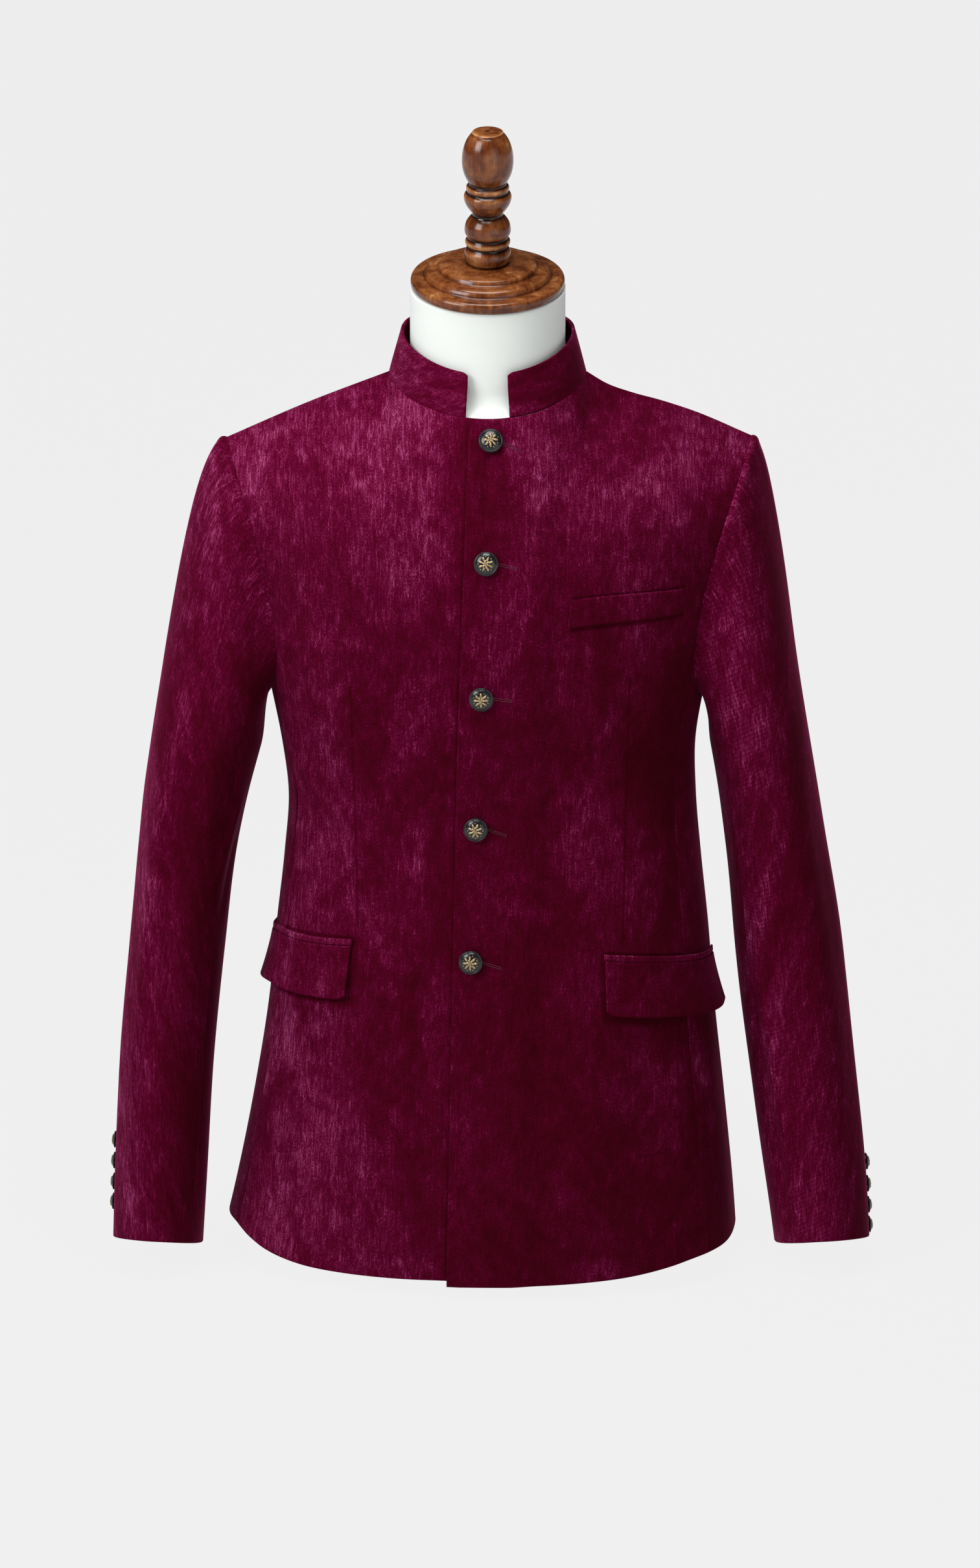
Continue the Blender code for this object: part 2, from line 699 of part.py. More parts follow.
def turned(name, profile, steps, finish, matrix):
    """Make a solid of revolution from rows of radius and height, closed at both ends."""
    points = []
    rings = []
    for radius, height in profile:
        if radius <= 0.0:
            rings.append([len(points)])
            points.append(matrix @ Vector((0.0, 0.0, height)))
            continue
        ring = []
        for k in range(steps):
            angle = 2 * math.pi * k / steps
            ring.append(len(points))
            points.append(matrix @ Vector((radius * math.cos(angle), radius * math.sin(angle), height)))
        rings.append(ring)
    faces = []
    for low, high in zip(rings, rings[1:]):
        for k in range(steps):
            after = (k + 1) % steps
            if len(low) == 1:
                faces.append((low[0], high[after], high[k]))
            elif len(high) == 1:
                faces.append((low[k], low[after], high[0]))
            else:
                faces.append((low[k], low[after], high[after], high[k]))
    for ring in (rings[0][::-1], rings[-1]):
        if len(ring) > 1:
            faces.append(tuple(ring))
    return new_object(name, points, faces, finish)


# Buttons: radius and height of each turn of the profile, for a button of radius 1
BUTTON_PROFILE = (
    (0.30, 0.00),
    (0.30, 0.12),
    (0.86, 0.14),
    (1.00, 0.24),
    (0.97, 0.34),
    (0.84, 0.42),
    (0.50, 0.53),
    (0.00, 0.57),
)
FRONT_BUTTON_RADIUS = 0.0105
FRONT_BUTTON_HEIGHTS = (0.7358, 0.6387, 0.5260, 0.4117, 0.2968)
CUFF_BUTTON_RADIUS = 0.0074
CUFF_BUTTON_TURN = 350.0
CUFF_BUTTON_HEIGHTS = {"right": (0.105, 0.087, 0.069, 0.052), "left": (0.086, 0.067, 0.049, 0.032)}
BUTTON_SEAT = 0.0006
CUFF_BUTTON_SEAT = 0.0001


def seat_matrix(point, normal):
    """Return the placement that stands a turned piece on a point, along a normal."""
    rotation = Vector(normal).to_track_quat("Z", "Y").to_matrix().to_4x4()
    return Matrix.Translation(Vector(point)) @ rotation


def make_front_buttons(finish):
    """Make the five front buttons, on the lapped front edge."""
    profile = [(r * FRONT_BUTTON_RADIUS, h * FRONT_BUTTON_RADIUS) for r, h in BUTTON_PROFILE]
    for k, z in enumerate(FRONT_BUTTON_HEIGHTS):
        phi, level = place(front_line(z), z)
        point, normal = skin(phi, level, LAP_LIFT + BUTTON_SEAT)
        turned(f"front_button_{k + 1}", profile, 12, finish, seat_matrix(point, normal))


def make_cuff_buttons(name, sections, side, finish):
    """Make one cuff's buttons, up the outer back edge of the sleeve."""
    profile = [(r * CUFF_BUTTON_RADIUS, h * CUFF_BUTTON_RADIUS) for r, h in BUTTON_PROFILE]
    for k, z in enumerate(CUFF_BUTTON_HEIGHTS[name]):
        point = sleeve_point(sections, side, CUFF_BUTTON_TURN, z)
        across = sleeve_point(sections, side, CUFF_BUTTON_TURN + 1, z) - point
        along = sleeve_point(sections, side, CUFF_BUTTON_TURN, z + 0.002) - point
        normal = np.cross(across, along)
        normal *= side * math.copysign(1.0, normal[0]) / np.linalg.norm(normal)
        seat = point + normal * CUFF_BUTTON_SEAT
        turned(f"{name}_cuff_button_{k + 1}", profile, 10, finish, seat_matrix(seat, normal))


# Dress form
FORM_BOTTOM_Z = 0.140
FORM_CLEAR = 0.0060
FORM_SEAT = 0.0005
FORM_LOW_ROWS = 9
FORM_HIGH_ROWS = 8
SEAT_FADE = 0.35
SHOULDER_SHARE = 0.995
HIP_TUCK = 0.10
HIP_TUCK_Z = 0.35
ARMPLATE_LOW_Z = 0.45
ARMPLATE_HIGH_Z = 0.53
NECK_RADIUS = 0.0652
NECK_DEPTH = 0.0610
NECK_MIDDLE_Y = -0.007
NECK_TOP_Z = 0.8522
NECK_TILT = math.radians(13.0)
POST_RADIUS = 0.016
BASE_RADIUS = 0.106
BASE_THICK = 0.014
BASE_FOOT_BEVEL = 0.001
BASE_TOP_BEVEL = 0.004
BASE_Y = 0.010


# Rings of the form's neck: blend to the round neck, rise above the neckline and blend to the cap
NECK_RINGS = (
    (0.50, 0.004, 0.0),
    (0.85, 0.009, 0.0),
    (1.00, 0.017, 0.0),
    (1.00, 0.017, 1.0),
)


def form_angles():
    """Return the angles of the form's columns, all the way round from the centre front."""
    quarter = columns_between(0.0, NECK_POINT, ARMHOLE_FRONT)
    side = [ARMHOLE_FRONT + (ARMHOLE_BACK - ARMHOLE_FRONT) * k / 4 for k in range(1, 4)]
    half = quarter + side + [180.0 - phi for phi in quarter[::-1]]
    return half + [-phi for phi in half[-2:0:-1]]


def form_point(phi, level, clear):
    """Return the form's surface at an angle and level, inside the coat's wall."""
    if level >= 2.0:
        inset = WALL + 2 * FORM_SEAT
        point = top_point(phi) * np.array((SHOULDER_SHARE, 1.0, 1.0)) - np.array((0.0, 0.0, inset))
        angle = math.radians(neck_turn(phi))
        at_neck = min(abs(phi), 180.0 - abs(phi)) <= NECK_POINT
        return point - at_neck * inset * np.array((math.sin(angle), -math.cos(angle), 0.0))
    point, _ = skin(phi, level, -(WALL + clear))
    return point


def form_ring(z=None, level=None):
    """Return one ring of the form's torso, at a height below the chest line or at a level above it."""
    if level is None:
        clear = FORM_CLEAR + HIP_TUCK * max(0.0, HIP_TUCK_Z - z)
        flat = min(max((z - ARMPLATE_LOW_Z) / (ARMPLATE_HIGH_Z - ARMPLATE_LOW_Z), 0.0), 1.0)
    else:
        clear = FORM_SEAT + FORM_CLEAR * min(1.0, (2.0 - level) / SEAT_FADE)
        flat = 1.0
    flat = flat * flat * (3 - 2 * flat)
    ring = []
    for phi in form_angles():
        side = math.copysign(1.0, phi)
        here = [phi, side * ARMHOLE_FRONT, side * ARMHOLE_BACK]
        own, front, back = [form_point(a, level_at(a, z) if level is None else level, clear) for a in here]
        if ARMHOLE_FRONT < abs(phi) < ARMHOLE_BACK:
            straight = front + (back - front) * (abs(phi) - ARMHOLE_FRONT) / (ARMHOLE_BACK - ARMHOLE_FRONT)
            own = straight if level is not None else own + (straight - own) * flat
        if level is None:
            own[2] = z
        ring.append(own)
    return ring


def neck_ring(angles, blend, lift, top):
    """Return a ring of the form's neck: the blend leads to the round neck, and the top to the cap."""
    ring = []
    for phi in angles:
        turn = neck_turn(phi)
        start = neckline(abs(turn)) * np.array((math.copysign(1.0, turn), 1.0, 1.0))
        angle = math.radians(turn)
        x = NECK_RADIUS * math.sin(angle)
        y = NECK_MIDDLE_Y - NECK_DEPTH * math.cos(angle)
        goal = start + (np.array((x, y, start[2])) - start) * blend
        goal[2] += lift - WALL - 2 * FORM_SEAT
        end = NECK_TOP_Z + (y - NECK_MIDDLE_Y) * math.tan(NECK_TILT)
        goal[2] += (end - goal[2]) * top
        ring.append(goal)
    return ring


def make_form(finish):
    """Make the dress form's torso and neck, one closed solid."""
    angles = form_angles()
    points = []
    faces = []
    count = len(angles)
    for i in range(FORM_LOW_ROWS):
        points.extend(form_ring(z=FORM_BOTTOM_Z + (CHEST_Z - FORM_BOTTOM_Z) * i / FORM_LOW_ROWS))
    for i in range(FORM_HIGH_ROWS + 1):
        points.extend(form_ring(level=1.0 + i / FORM_HIGH_ROWS))
    rows = FORM_LOW_ROWS + FORM_HIGH_ROWS + 1
    for i in range(rows - 1):
        for k in range(count):
            after = (k + 1) % count
            faces.append((i * count + k, i * count + after, (i + 1) * count + after, (i + 1) * count + k))
    faces.append(tuple(range(count))[::-1])
    neck = [k for k, phi in enumerate(angles) if abs(phi) <= NECK_POINT or abs(phi) >= 180.0 - NECK_POINT]
    neck.sort(key=lambda k: neck_turn(angles[k]))
    below = [(rows - 1) * count + k for k in neck]
    neck_angles = [angles[k] for k in neck]
    for blend, lift, top in NECK_RINGS:
        ring = neck_ring(neck_angles, blend, lift, top)
        above = list(range(len(points), len(points) + len(ring)))
        points.extend(ring)
        for k in range(len(ring)):
            after = (k + 1) % len(ring)
            faces.append((below[k], below[after], above[after], above[k]))
        below = above
    faces.append(tuple(below))
    return new_object("form_torso", points, faces, finish)


def neck_turn(phi):
    """Return a neck column's angle round the neck, -180 to 180."""
    if abs(phi) <= 90.0:
        return phi * 90.0 / NECK_POINT
    return math.copysign(180.0 - (180.0 - abs(phi)) * 90.0 / NECK_POINT, phi)


# Turned pieces: radius and height of each turn, in millimetres
CAP_PROFILE = (
    (60.0, 0.0),
    (63.6, 0.8),
    (64.6, 3.0),
    (64.6, 6.2),
    (63.2, 8.6),
    (60.5, 9.4),
    (53.6, 9.8),
    (52.6, 12.0),
    (50.6, 14.6),
    (46.0, 15.8),
    (42.2, 16.6),
    (40.8, 19.0),
    (39.4, 20.2),
)
FINIAL_PROFILE = (
    (14.5, 0.0),
    (18.0, 2.6),
    (19.4, 6.8),
    (19.0, 11.5),
    (16.9, 15.2),
    (16.7, 16.4),
    (18.6, 18.0),
    (18.9, 20.4),
    (17.5, 22.6),
    (17.0, 23.8),
    (17.4, 25.0),
    (19.1, 27.6),
    (19.3, 32.0),
    (18.2, 36.5),
    (15.6, 40.6),
    (13.0, 43.6),
    (12.9, 45.2),
    (15.0, 48.2),
    (18.2, 53.0),
    (19.8, 57.6),
    (19.9, 60.4),
    (19.0, 62.6),
    (17.2, 64.4),
    (17.9, 66.4),
    (17.7, 69.0),
    (15.8, 70.8),
    (15.7, 72.0),
    (17.4, 75.2),
    (19.6, 80.0),
    (21.1, 86.0),
    (21.5, 92.0),
    (21.1, 98.0),
    (19.8, 104.0),
    (17.6, 109.5),
    (14.8, 113.8),
    (13.2, 115.6),
    (12.6, 116.9),
    (0.0, 117.6),
)
MILLIMETRE = 0.001


def cap_matrix(height):
    """Return the placement of a piece at a height along the neck cap's leaning axis."""
    foot = Matrix.Translation(Vector((0.0, NECK_MIDDLE_Y, NECK_TOP_Z)))
    return foot @ Matrix.Rotation(NECK_TILT, 4, "X") @ Matrix.Translation(Vector((0.0, 0.0, height)))


def make_stand(white, wood):
    """Make the form, its neck cap, its finial, and the post and plate that it stands on."""
    make_form(white)
    cap = [(r * MILLIMETRE, h * MILLIMETRE) for r, h in CAP_PROFILE]
    finial = [(r * MILLIMETRE, h * MILLIMETRE) for r, h in FINIAL_PROFILE]
    turned("neck_cap", cap, 32, wood, cap_matrix(SEAM_GAP))
    turned("finial", finial, 16, wood, cap_matrix(cap[-1][1] + 2 * SEAM_GAP))
    upright = Matrix.Translation(Vector((0.0, BASE_Y, 0.0)))
    plate = (
        (BASE_RADIUS - BASE_FOOT_BEVEL, 0.0),
        (BASE_RADIUS, BASE_FOOT_BEVEL),
        (BASE_RADIUS, BASE_THICK - BASE_TOP_BEVEL),
        (BASE_RADIUS - BASE_TOP_BEVEL, BASE_THICK),
    )
    turned("base_plate", plate, 32, wood, upright)
    post = ((POST_RADIUS, BASE_THICK + SEAM_GAP), (POST_RADIUS, FORM_BOTTOM_Z - SEAM_GAP))
    turned("post", post, 16, wood, upright)


def make_coat(velvet, button):
    """Make every cloth piece and button of the coat."""
    for name, side in (("right", -1.0), ("left", 1.0)):
        front, front_normals = front_grid(side)
        panel, side_normals = side_grid(side)
        back, back_normals = back_grid(side)
        finish_top(front, front_normals, False)
        finish_top(back, back_normals, True)
        lift = lap_lift(front) if side > 0 else 0.0
        wall(f"{name}_front", front, front_normals, velvet, WALL, lift)
        wall(f"{name}_side", panel, side_normals, velvet)
        wall(f"{name}_back", back, back_normals, velvet)
        sections = LEFT_SLEEVE if side > 0 else RIGHT_SLEEVE
        sleeve_pieces(name, armhole_loop(front, panel, back), sections, side, velvet)
        make_cuff_buttons(name, sections, side, button)
    make_collar(velvet)
    make_welt(velvet)
    for row in FLAPS:
        make_pocket(row, velvet)
    make_front_buttons(button)


def centre_on_origin():
    """Move everything so that the whole part's box is centred on the origin, seen from above."""
    corners = [tuple(vertex.co) for thing in bpy.data.objects for vertex in thing.data.vertices]
    low = np.min(corners, axis=0)
    high = np.max(corners, axis=0)
    shift = Matrix.Translation(Vector((-(low[0] + high[0]) / 2, -(low[1] + high[1]) / 2, -low[2])))
    for thing in bpy.data.objects:
        thing.data.transform(shift)


def main():
    """Build the whole part."""
    clear_scene()
    velvet = material("velvet", (0.13, 0.006, 0.04), 0.75)
    white = material("form_cover", (0.80, 0.82, 0.80), 0.85)
    wood = material("stained_wood", (0.22, 0.06, 0.02), 0.30)
    button = material("black_button", (0.015, 0.015, 0.017), 0.25)
    make_coat(velvet, button)
    make_stand(white, wood)
    centre_on_origin()


main()
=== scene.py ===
# A plum velvet prince coat on a limbless white dress form: its looks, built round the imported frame.
# Metres, +Z up. The wearer's front faces -Y, and +X is the wearer's left.
import math

import bpy
import numpy as np
from mathutils import Matrix, Vector


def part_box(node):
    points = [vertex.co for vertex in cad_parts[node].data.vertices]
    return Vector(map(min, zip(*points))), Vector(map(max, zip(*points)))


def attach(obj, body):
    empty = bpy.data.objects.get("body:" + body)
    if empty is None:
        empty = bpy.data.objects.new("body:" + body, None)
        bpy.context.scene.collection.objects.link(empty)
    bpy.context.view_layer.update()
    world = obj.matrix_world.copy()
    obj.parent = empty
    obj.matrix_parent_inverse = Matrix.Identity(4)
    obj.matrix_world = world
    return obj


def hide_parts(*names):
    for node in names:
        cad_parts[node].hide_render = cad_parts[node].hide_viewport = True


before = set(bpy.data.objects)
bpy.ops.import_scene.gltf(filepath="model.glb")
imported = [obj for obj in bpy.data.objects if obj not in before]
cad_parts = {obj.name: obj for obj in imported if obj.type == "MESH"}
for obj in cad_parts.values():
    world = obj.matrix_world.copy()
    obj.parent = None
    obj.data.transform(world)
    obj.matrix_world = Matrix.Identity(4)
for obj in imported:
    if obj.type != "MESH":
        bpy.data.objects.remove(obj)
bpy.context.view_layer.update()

# The coat's own frame has x = 0 at the middle of the neck, and the base plate stands at a known place in it
BASE_Y = 0.010
PLATE_LOW, PLATE_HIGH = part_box("base_plate")
SHIFT = np.array(((PLATE_LOW[0] + PLATE_HIGH[0]) / 2, (PLATE_LOW[1] + PLATE_HIGH[1]) / 2 - BASE_Y, 0.0))

# Driving dimensions of the cloth, as in the solids
WALL = 0.0020
SEAM_GAP = 0.0003
COLLAR_WALL = 0.0030
LAP = 0.0185
LAP_TAPER = 0.0157
LAP_TAPER_Z = 0.500
LAP_MARGIN = 0.022
LAP_FADE = 0.026
LAP_GAP = 0.0008
LAP_LIFT = WALL + LAP_GAP

# How near the line of buttons and the upper front's edge the lower front lies flat, and how far that fades
BUTTONS_CALM = 0.012
BUTTONS_FADE = 0.04
LAP_CALM = 0.040
LAP_CALM_FADE = 0.02

CHEST_Z = 0.560
UNDERARM_Z = 0.505
NECK_PIT_Z = 0.7536
NECK_BACK_Z = 0.787
RIGHT_HEM_LIFT = 0.0050
SLEEVE_RING_Z = 0.455

NECK_HALF = 0.083
NECK_FRONT = 0.085
NECK_BACK = 0.066
SHOULDER_END_Y = 0.004
SHOULDER_TIPS = {-1.0: (0.2208, 0.7212), 1.0: (0.2235, 0.7225)}

# How far each shoulder line rises above a straight one, by its share of the way from the neck
SHOULDER_LINES = {
    -1.0: ((0.00, 0.0000), (0.50, 0.0018), (1.00, 0.0000)),
    1.0: ((0.00, 0.0000), (0.12, -0.0036), (0.27, -0.0030), (0.45, 0.0000), (0.65, 0.0018), (1.00, 0.0000)),
}
CORNER_BLEND = 16.0
CHEST_TAPER = 1.5
NECK_LEAN = 2.4
SHOULDER_LEAN = 4.6
FRONT_CORNER = 0.008
FRONT_CORNER_LEVEL = 1.93

SIDE_SEAM_FRONT = 68.0
SIDE_SEAM_BACK = 112.0
ARMHOLE_FRONT = 65.0
ARMHOLE_BACK = 115.0
NECK_POINT = 26.0
SECTION_POWER = 0.80
SEAM_ANGLE = 0.045

# Body sections: height, half width, middle, depth in front, depth behind
BODY_SECTIONS = (
    (0.000, 0.2265, -0.0080, 0.137, 0.125),
    (0.060, 0.2172, -0.0030, 0.135, 0.124),
    (0.150, 0.2035, 0.0015, 0.131, 0.122),
    (0.230, 0.1925, 0.0035, 0.128, 0.118),
    (0.300, 0.1858, 0.0042, 0.125, 0.110),
    (0.360, 0.1790, 0.0045, 0.122, 0.099),
    (0.415, 0.1745, 0.0040, 0.121, 0.094),
    (0.460, 0.1765, 0.0010, 0.123, 0.098),
    (0.505, 0.1840, 0.0000, 0.126, 0.105),
    (0.560, 0.1960, 0.0000, 0.129, 0.114),
)

# Heights of the hem on each side, by angle in degrees from the centre front
HEM_LINES = {
    1.0: (
        (0.0, 0.0110), (27.0, 0.0140), (40.0, 0.0170), (52.0, 0.0214), (60.0, 0.0246),
        (68.0, 0.0262), (80.0, 0.0278), (90.0, 0.0300), (180.0, 0.0240),
    ),
    -1.0: (
        (0.0, 0.0110), (27.0, 0.0117), (40.0, 0.0146), (52.0, 0.0210), (60.0, 0.0275),
        (68.0, 0.0336), (80.0, 0.0345), (90.0, 0.0340), (180.0, 0.0240),
    ),
}

# The front edge hangs a little askew: where it stands at a height, and how far it drifts with depth
FRONT_LINE_Z = 0.7358
FRONT_LINE_X = 0.0025
FRONT_LINE_DRIFT = 0.0367

# Sleeve sections: height, middle forwards, half depth, and the right and left middle outwards and half width
SLEEVE_SECTIONS = (
    (0.455, -0.002, 0.077, 0.2412, 0.0475, 0.2330, 0.0432),
    (0.415, -0.002, 0.074, 0.2496, 0.0452, 0.2402, 0.0429),
    (0.370, -0.002, 0.071, 0.2570, 0.0428, 0.2472, 0.0433),
    (0.280, -0.004, 0.067, 0.2675, 0.0410, 0.2597, 0.0460),
    (0.187, -0.012, 0.063, 0.2768, 0.0409, 0.2709, 0.0456),
    (0.093, -0.024, 0.060, 0.2823, 0.0402, 0.2828, 0.0441),
    (0.020, -0.036, 0.058, 0.2858, 0.0389, 0.2903, 0.0407),
)
CUFF_TILT = 0.016
CUFF_SLANT = 0.0058
SLEEVE_FRONT_SEAM = 140.0
SLEEVE_BACK_SEAM = 312.0
CUFF_Z = 0.024
SLEEVE_POWER = 0.92
HEAD_RISE = 0.26
UNDERARM_FALL = -1.10
HEAD_SPAN = 0.10
HEAD_PUSH = {1.0: 0.55, -1.0: 0.80}
HEAD_ROWS = 7
HEAD_RUN = 0.02

# Rows and columns of the solids, which the sleeve's fullness is spread over
SKIRT_ROWS = 11
ARMHOLE_ROWS = 2
YOKE_ROWS = 8
NECK_COLUMNS = 5
SHOULDER_COLUMNS = 6
SIDE_COLUMNS = 5

# Each of those is cut finer here
FINE_SKIRT = 10
FINE_ARMHOLE = 8
FINE_YOKE = 9
FINE_LAP = 8
FINE_NECK = 6
FINE_SHOULDER = 8
FINE_SIDE = 8
FINE_ROUND = 6
FINE_HEAD = 6
ARM_ROWS = 90

# Turned edges: how far the rounding reaches from an edge, its share of the thickness, and its lines
EDGE_RADIUS = 0.0008
EDGE_DROP = 0.24
EDGE_LINES = (0.12, 0.45, 1.0)
EDGE_LEAST_STEP = 1.05
FACING_WIDTH = 0.028

# How far past its last rows a table of sections is carried on
TABLE_MARGIN = 0.02


def curve(t, span, start, leave, end, arrive):
    """Return the point at a share of a smooth curve's span, by both ends and the slopes there."""
    first = (2 * t ** 3 - 3 * t ** 2 + 1) * start + (t ** 3 - 2 * t ** 2 + t) * span * leave
    return first + (3 * t ** 2 - 2 * t ** 3) * end + (t ** 3 - t ** 2) * span * arrive


def unit(vectors):
    """Return vectors at length 1."""
    return vectors / np.maximum(np.linalg.norm(vectors, axis=-1, keepdims=True), 1e-9)


def side_name(side):
    """Return the name of the wearer's side."""
    return "left" if side > 0 else "right"


def table_rows(table, heights):
    """Return the sections' values at an array of heights, by a smooth curve through the table's rows."""
    rows = sorted(table)
    zs = np.array([row[0] for row in rows])
    values = np.array([row[1:] for row in rows])
    slopes = np.gradient(values, zs, axis=0)
    z = np.clip(np.asarray(heights, dtype=float), zs[0] - TABLE_MARGIN, zs[-1] + TABLE_MARGIN)
    i = np.clip(np.searchsorted(zs, z) - 1, 0, len(zs) - 2)
    span = (zs[i + 1] - zs[i])[..., None]
    t = (z - zs[i])[..., None] / span
    inside = np.clip(t, 0.0, 1.0)
    end = np.where(t < 0.0, slopes[i], slopes[i + 1])
    return curve(inside, span, values[i], slopes[i], values[i + 1], slopes[i + 1]) + end * (t - inside) * span


def front_line(z):
    """Return where the line of buttons stands at a height."""
    return FRONT_LINE_X - FRONT_LINE_DRIFT * (FRONT_LINE_Z - z)


def lap_width(z):
    """Return how far a front's edge stands past the line of buttons at heights."""
    return LAP - LAP_TAPER * np.maximum(0.0, LAP_TAPER_Z - z)


def signed_power(value, power):
    """Return a power that keeps the sign."""
    return np.sign(value) * np.abs(value) ** power


def section_points(phi, z):
    """Return the coat's outer surface below the chest, at angles in degrees and heights."""
    half, middle, front, back = np.moveaxis(table_rows(BODY_SECTIONS, z), -1, 0)
    angle = np.radians(phi)
    side = np.sin(angle) * half
    depth = signed_power(np.cos(angle), SECTION_POWER)
    along = -depth * np.where(depth > 0, front, back)
    twist = np.arcsin((front_line(z) - middle) / front)
    x = side * np.cos(twist) - along * np.sin(twist) + middle
    y = side * np.sin(twist) + along * np.cos(twist)
    return np.stack((x, y, z + 0.0 * x), axis=-1)


def neckline(angle):
    """Return the neckline at angles in degrees from the centre front."""
    turn = np.radians(angle)
    depth = np.where(np.cos(turn) > 0, NECK_FRONT, NECK_BACK)
    drop = (NECK_BACK_Z - NECK_PIT_Z) * ((1 + np.cos(turn)) / 2) ** 2
    return np.stack((NECK_HALF * np.sin(turn), -depth * np.cos(turn), NECK_BACK_Z - drop), axis=-1)


def shoulder(fraction, sides):
    """Return the shoulder seams from the neck point, 0, to the sleeve, 1, as if on the wearer's left."""
    start = neckline(90.0)
    tips = zip(SHOULDER_TIPS[1.0], SHOULDER_TIPS[-1.0])
    half, tip = (np.where(sides > 0, left, right) for left, right in tips)
    end = np.stack((half, SHOULDER_END_Y + 0.0 * half, tip), axis=-1)
    point = start + (end - start) * fraction[..., None]
    fraction = np.clip(fraction, 0.0, 1.0)
    left, right = (table_rows(SHOULDER_LINES[side], fraction)[..., 0] for side in (1.0, -1.0))
    point[..., 2] += np.where(sides > 0, left, right)
    return point


def folded(phi):
    """Return angles from the centre front, or from the centre back for those behind."""
    return np.minimum(np.abs(phi), 180.0 - np.abs(phi))


def top_points(phi):
    """Return where the lines of cloth at these angles end, on the neckline or the shoulder seam."""
    sides = np.where(phi < 0, -1.0, 1.0)
    turn = folded(phi)
    angle = 90.0 * turn / NECK_POINT
    neck = neckline(np.where(np.abs(phi) > 90.0, 180.0 - angle, angle))
    seam = shoulder((turn - NECK_POINT) / (ARMHOLE_FRONT - NECK_POINT), sides)
    point = np.where((turn <= NECK_POINT)[..., None], neck, seam)
    point[..., 0] *= sides
    return point


def soft_top_points(phi, width):
    """Return the top line with its corner at the neck point rounded over widths in degrees."""
    width = np.minimum(width, ARMHOLE_FRONT - np.minimum(folded(phi), ARMHOLE_FRONT))
    steps = (-1.0, -0.5, 0.0, 0.5, 1.0)
    weights = (0.1, 0.25, 0.3, 0.25, 0.1)
    return sum(weight * top_points(phi + width * step) for step, weight in zip(steps, weights))


def hem_height(phi):
    """Return the hem's height at angles."""
    left, right = (table_rows(HEM_LINES[side], np.abs(phi))[..., 0] for side in (1.0, -1.0))
    return np.where(np.asarray(phi) < 0, right, left)


def body_points(phi, level):
    """Return the outer surface: level 0 is the hem, 1 the chest line and 2 the neckline or shoulder."""
    phi, level = np.broadcast_arrays(np.asarray(phi, dtype=float), np.asarray(level, dtype=float))
    hem = hem_height(phi)
    below = section_points(phi, hem + (CHEST_Z - hem) * np.minimum(level, 1.0))
    rise = np.maximum(level - 1.0, 0.0)
    low = section_points(phi, CHEST_Z)
    high = soft_top_points(phi, CORNER_BLEND * (1.0 - rise))
    turn = np.minimum(folded(phi), ARMHOLE_FRONT) / ARMHOLE_FRONT
    lean = NECK_LEAN + (SHOULDER_LEAN - NECK_LEAN) * turn
    mix = np.stack((rise ** CHEST_TAPER, rise ** lean, rise), axis=-1)
    above = low + (high - low) * mix
    return np.where((level <= 1.0)[..., None], below, above)


def level_at(phi, z):
    """Return the level of a height below the chest line."""
    hem = hem_height(phi)
    return (z - hem) / (CHEST_Z - hem)


# How far round the front a place is looked for, in degrees, and how often that stretch is halved
FRONT_REACH = 80.0
HALVINGS = 30


def angle_at(x, level):
    """Return the angles at which the front stands at x, on these levels."""
    x, level = np.broadcast_arrays(np.asarray(x, dtype=float), np.asarray(level, dtype=float))
    low = np.full(x.shape, -FRONT_REACH)
    high = np.full(x.shape, FRONT_REACH)
    for _ in range(HALVINGS):
        middle = (low + high) / 2
        less = body_points(middle, level)[..., 0] < x
        low = np.where(less, middle, low)
        high = np.where(less, high, middle)
    return (low + high) / 2


def armhole_height(phi):
    """Return the height of the armhole's lower curve at angles from the centre front."""
    reach = (np.abs(phi) - 90.0) / (90.0 - ARMHOLE_FRONT)
    return CHEST_Z - (CHEST_Z - UNDERARM_Z) * np.sqrt(np.maximum(0.0, 1.0 - reach ** 2))


JUNCTION_Z = float(armhole_height(SIDE_SEAM_FRONT))


def outer_angle(level, behind):
    """Return a panel's outer edge at levels: its side seam, then the armhole."""
    seam = SIDE_SEAM_BACK if behind else SIDE_SEAM_FRONT
    start = level_at(seam, JUNCTION_Z)
    drop = (CHEST_Z - JUNCTION_Z) * np.clip((1.0 - level) / (1.0 - start), 0.0, 1.0)
    armhole = (90.0 - ARMHOLE_FRONT) * np.sqrt(1.0 - (drop / (CHEST_Z - UNDERARM_Z)) ** 2)
    reach = np.where(level <= start, 90.0 - SIDE_SEAM_FRONT + SEAM_ANGLE, armhole)
    return 90.0 + reach if behind else 90.0 - reach


def skin(phi, level):
    """Return points of the coat's surface, and the outward normals there."""
    turn = 0.5
    rise = 0.004
    inside = np.minimum(level, 2.0 - rise)
    across = body_points(phi + turn, inside) - body_points(phi - turn, inside)
    along = body_points(phi, inside + rise) - body_points(phi, np.maximum(inside - rise, 0.0))
    return body_points(phi, level), unit(np.cross(across, along))


def smooth_step(value):
    """Return the usual smooth step from 0 to 1."""
    value = np.clip(value, 0.0, 1.0)
    return value * value * (3 - 2 * value)


def finer(stops, counts):
    """Return stops with each stretch between them cut into its count of equal parts."""
    out = []
    for start, end, count in zip(stops, stops[1:], counts):
        out.extend(start + (end - start) * k / count for k in range(count))
    return out + [stops[-1]]


def panel_levels(seam):
    """Return the levels of a front or back panel's rows, cut finely."""
    start = float(level_at(seam, JUNCTION_Z))
    counts = (SKIRT_ROWS * FINE_SKIRT, ARMHOLE_ROWS * FINE_ARMHOLE, YOKE_ROWS * FINE_YOKE)
    return np.array(finer([0.0, start, 1.0, 2.0], counts))


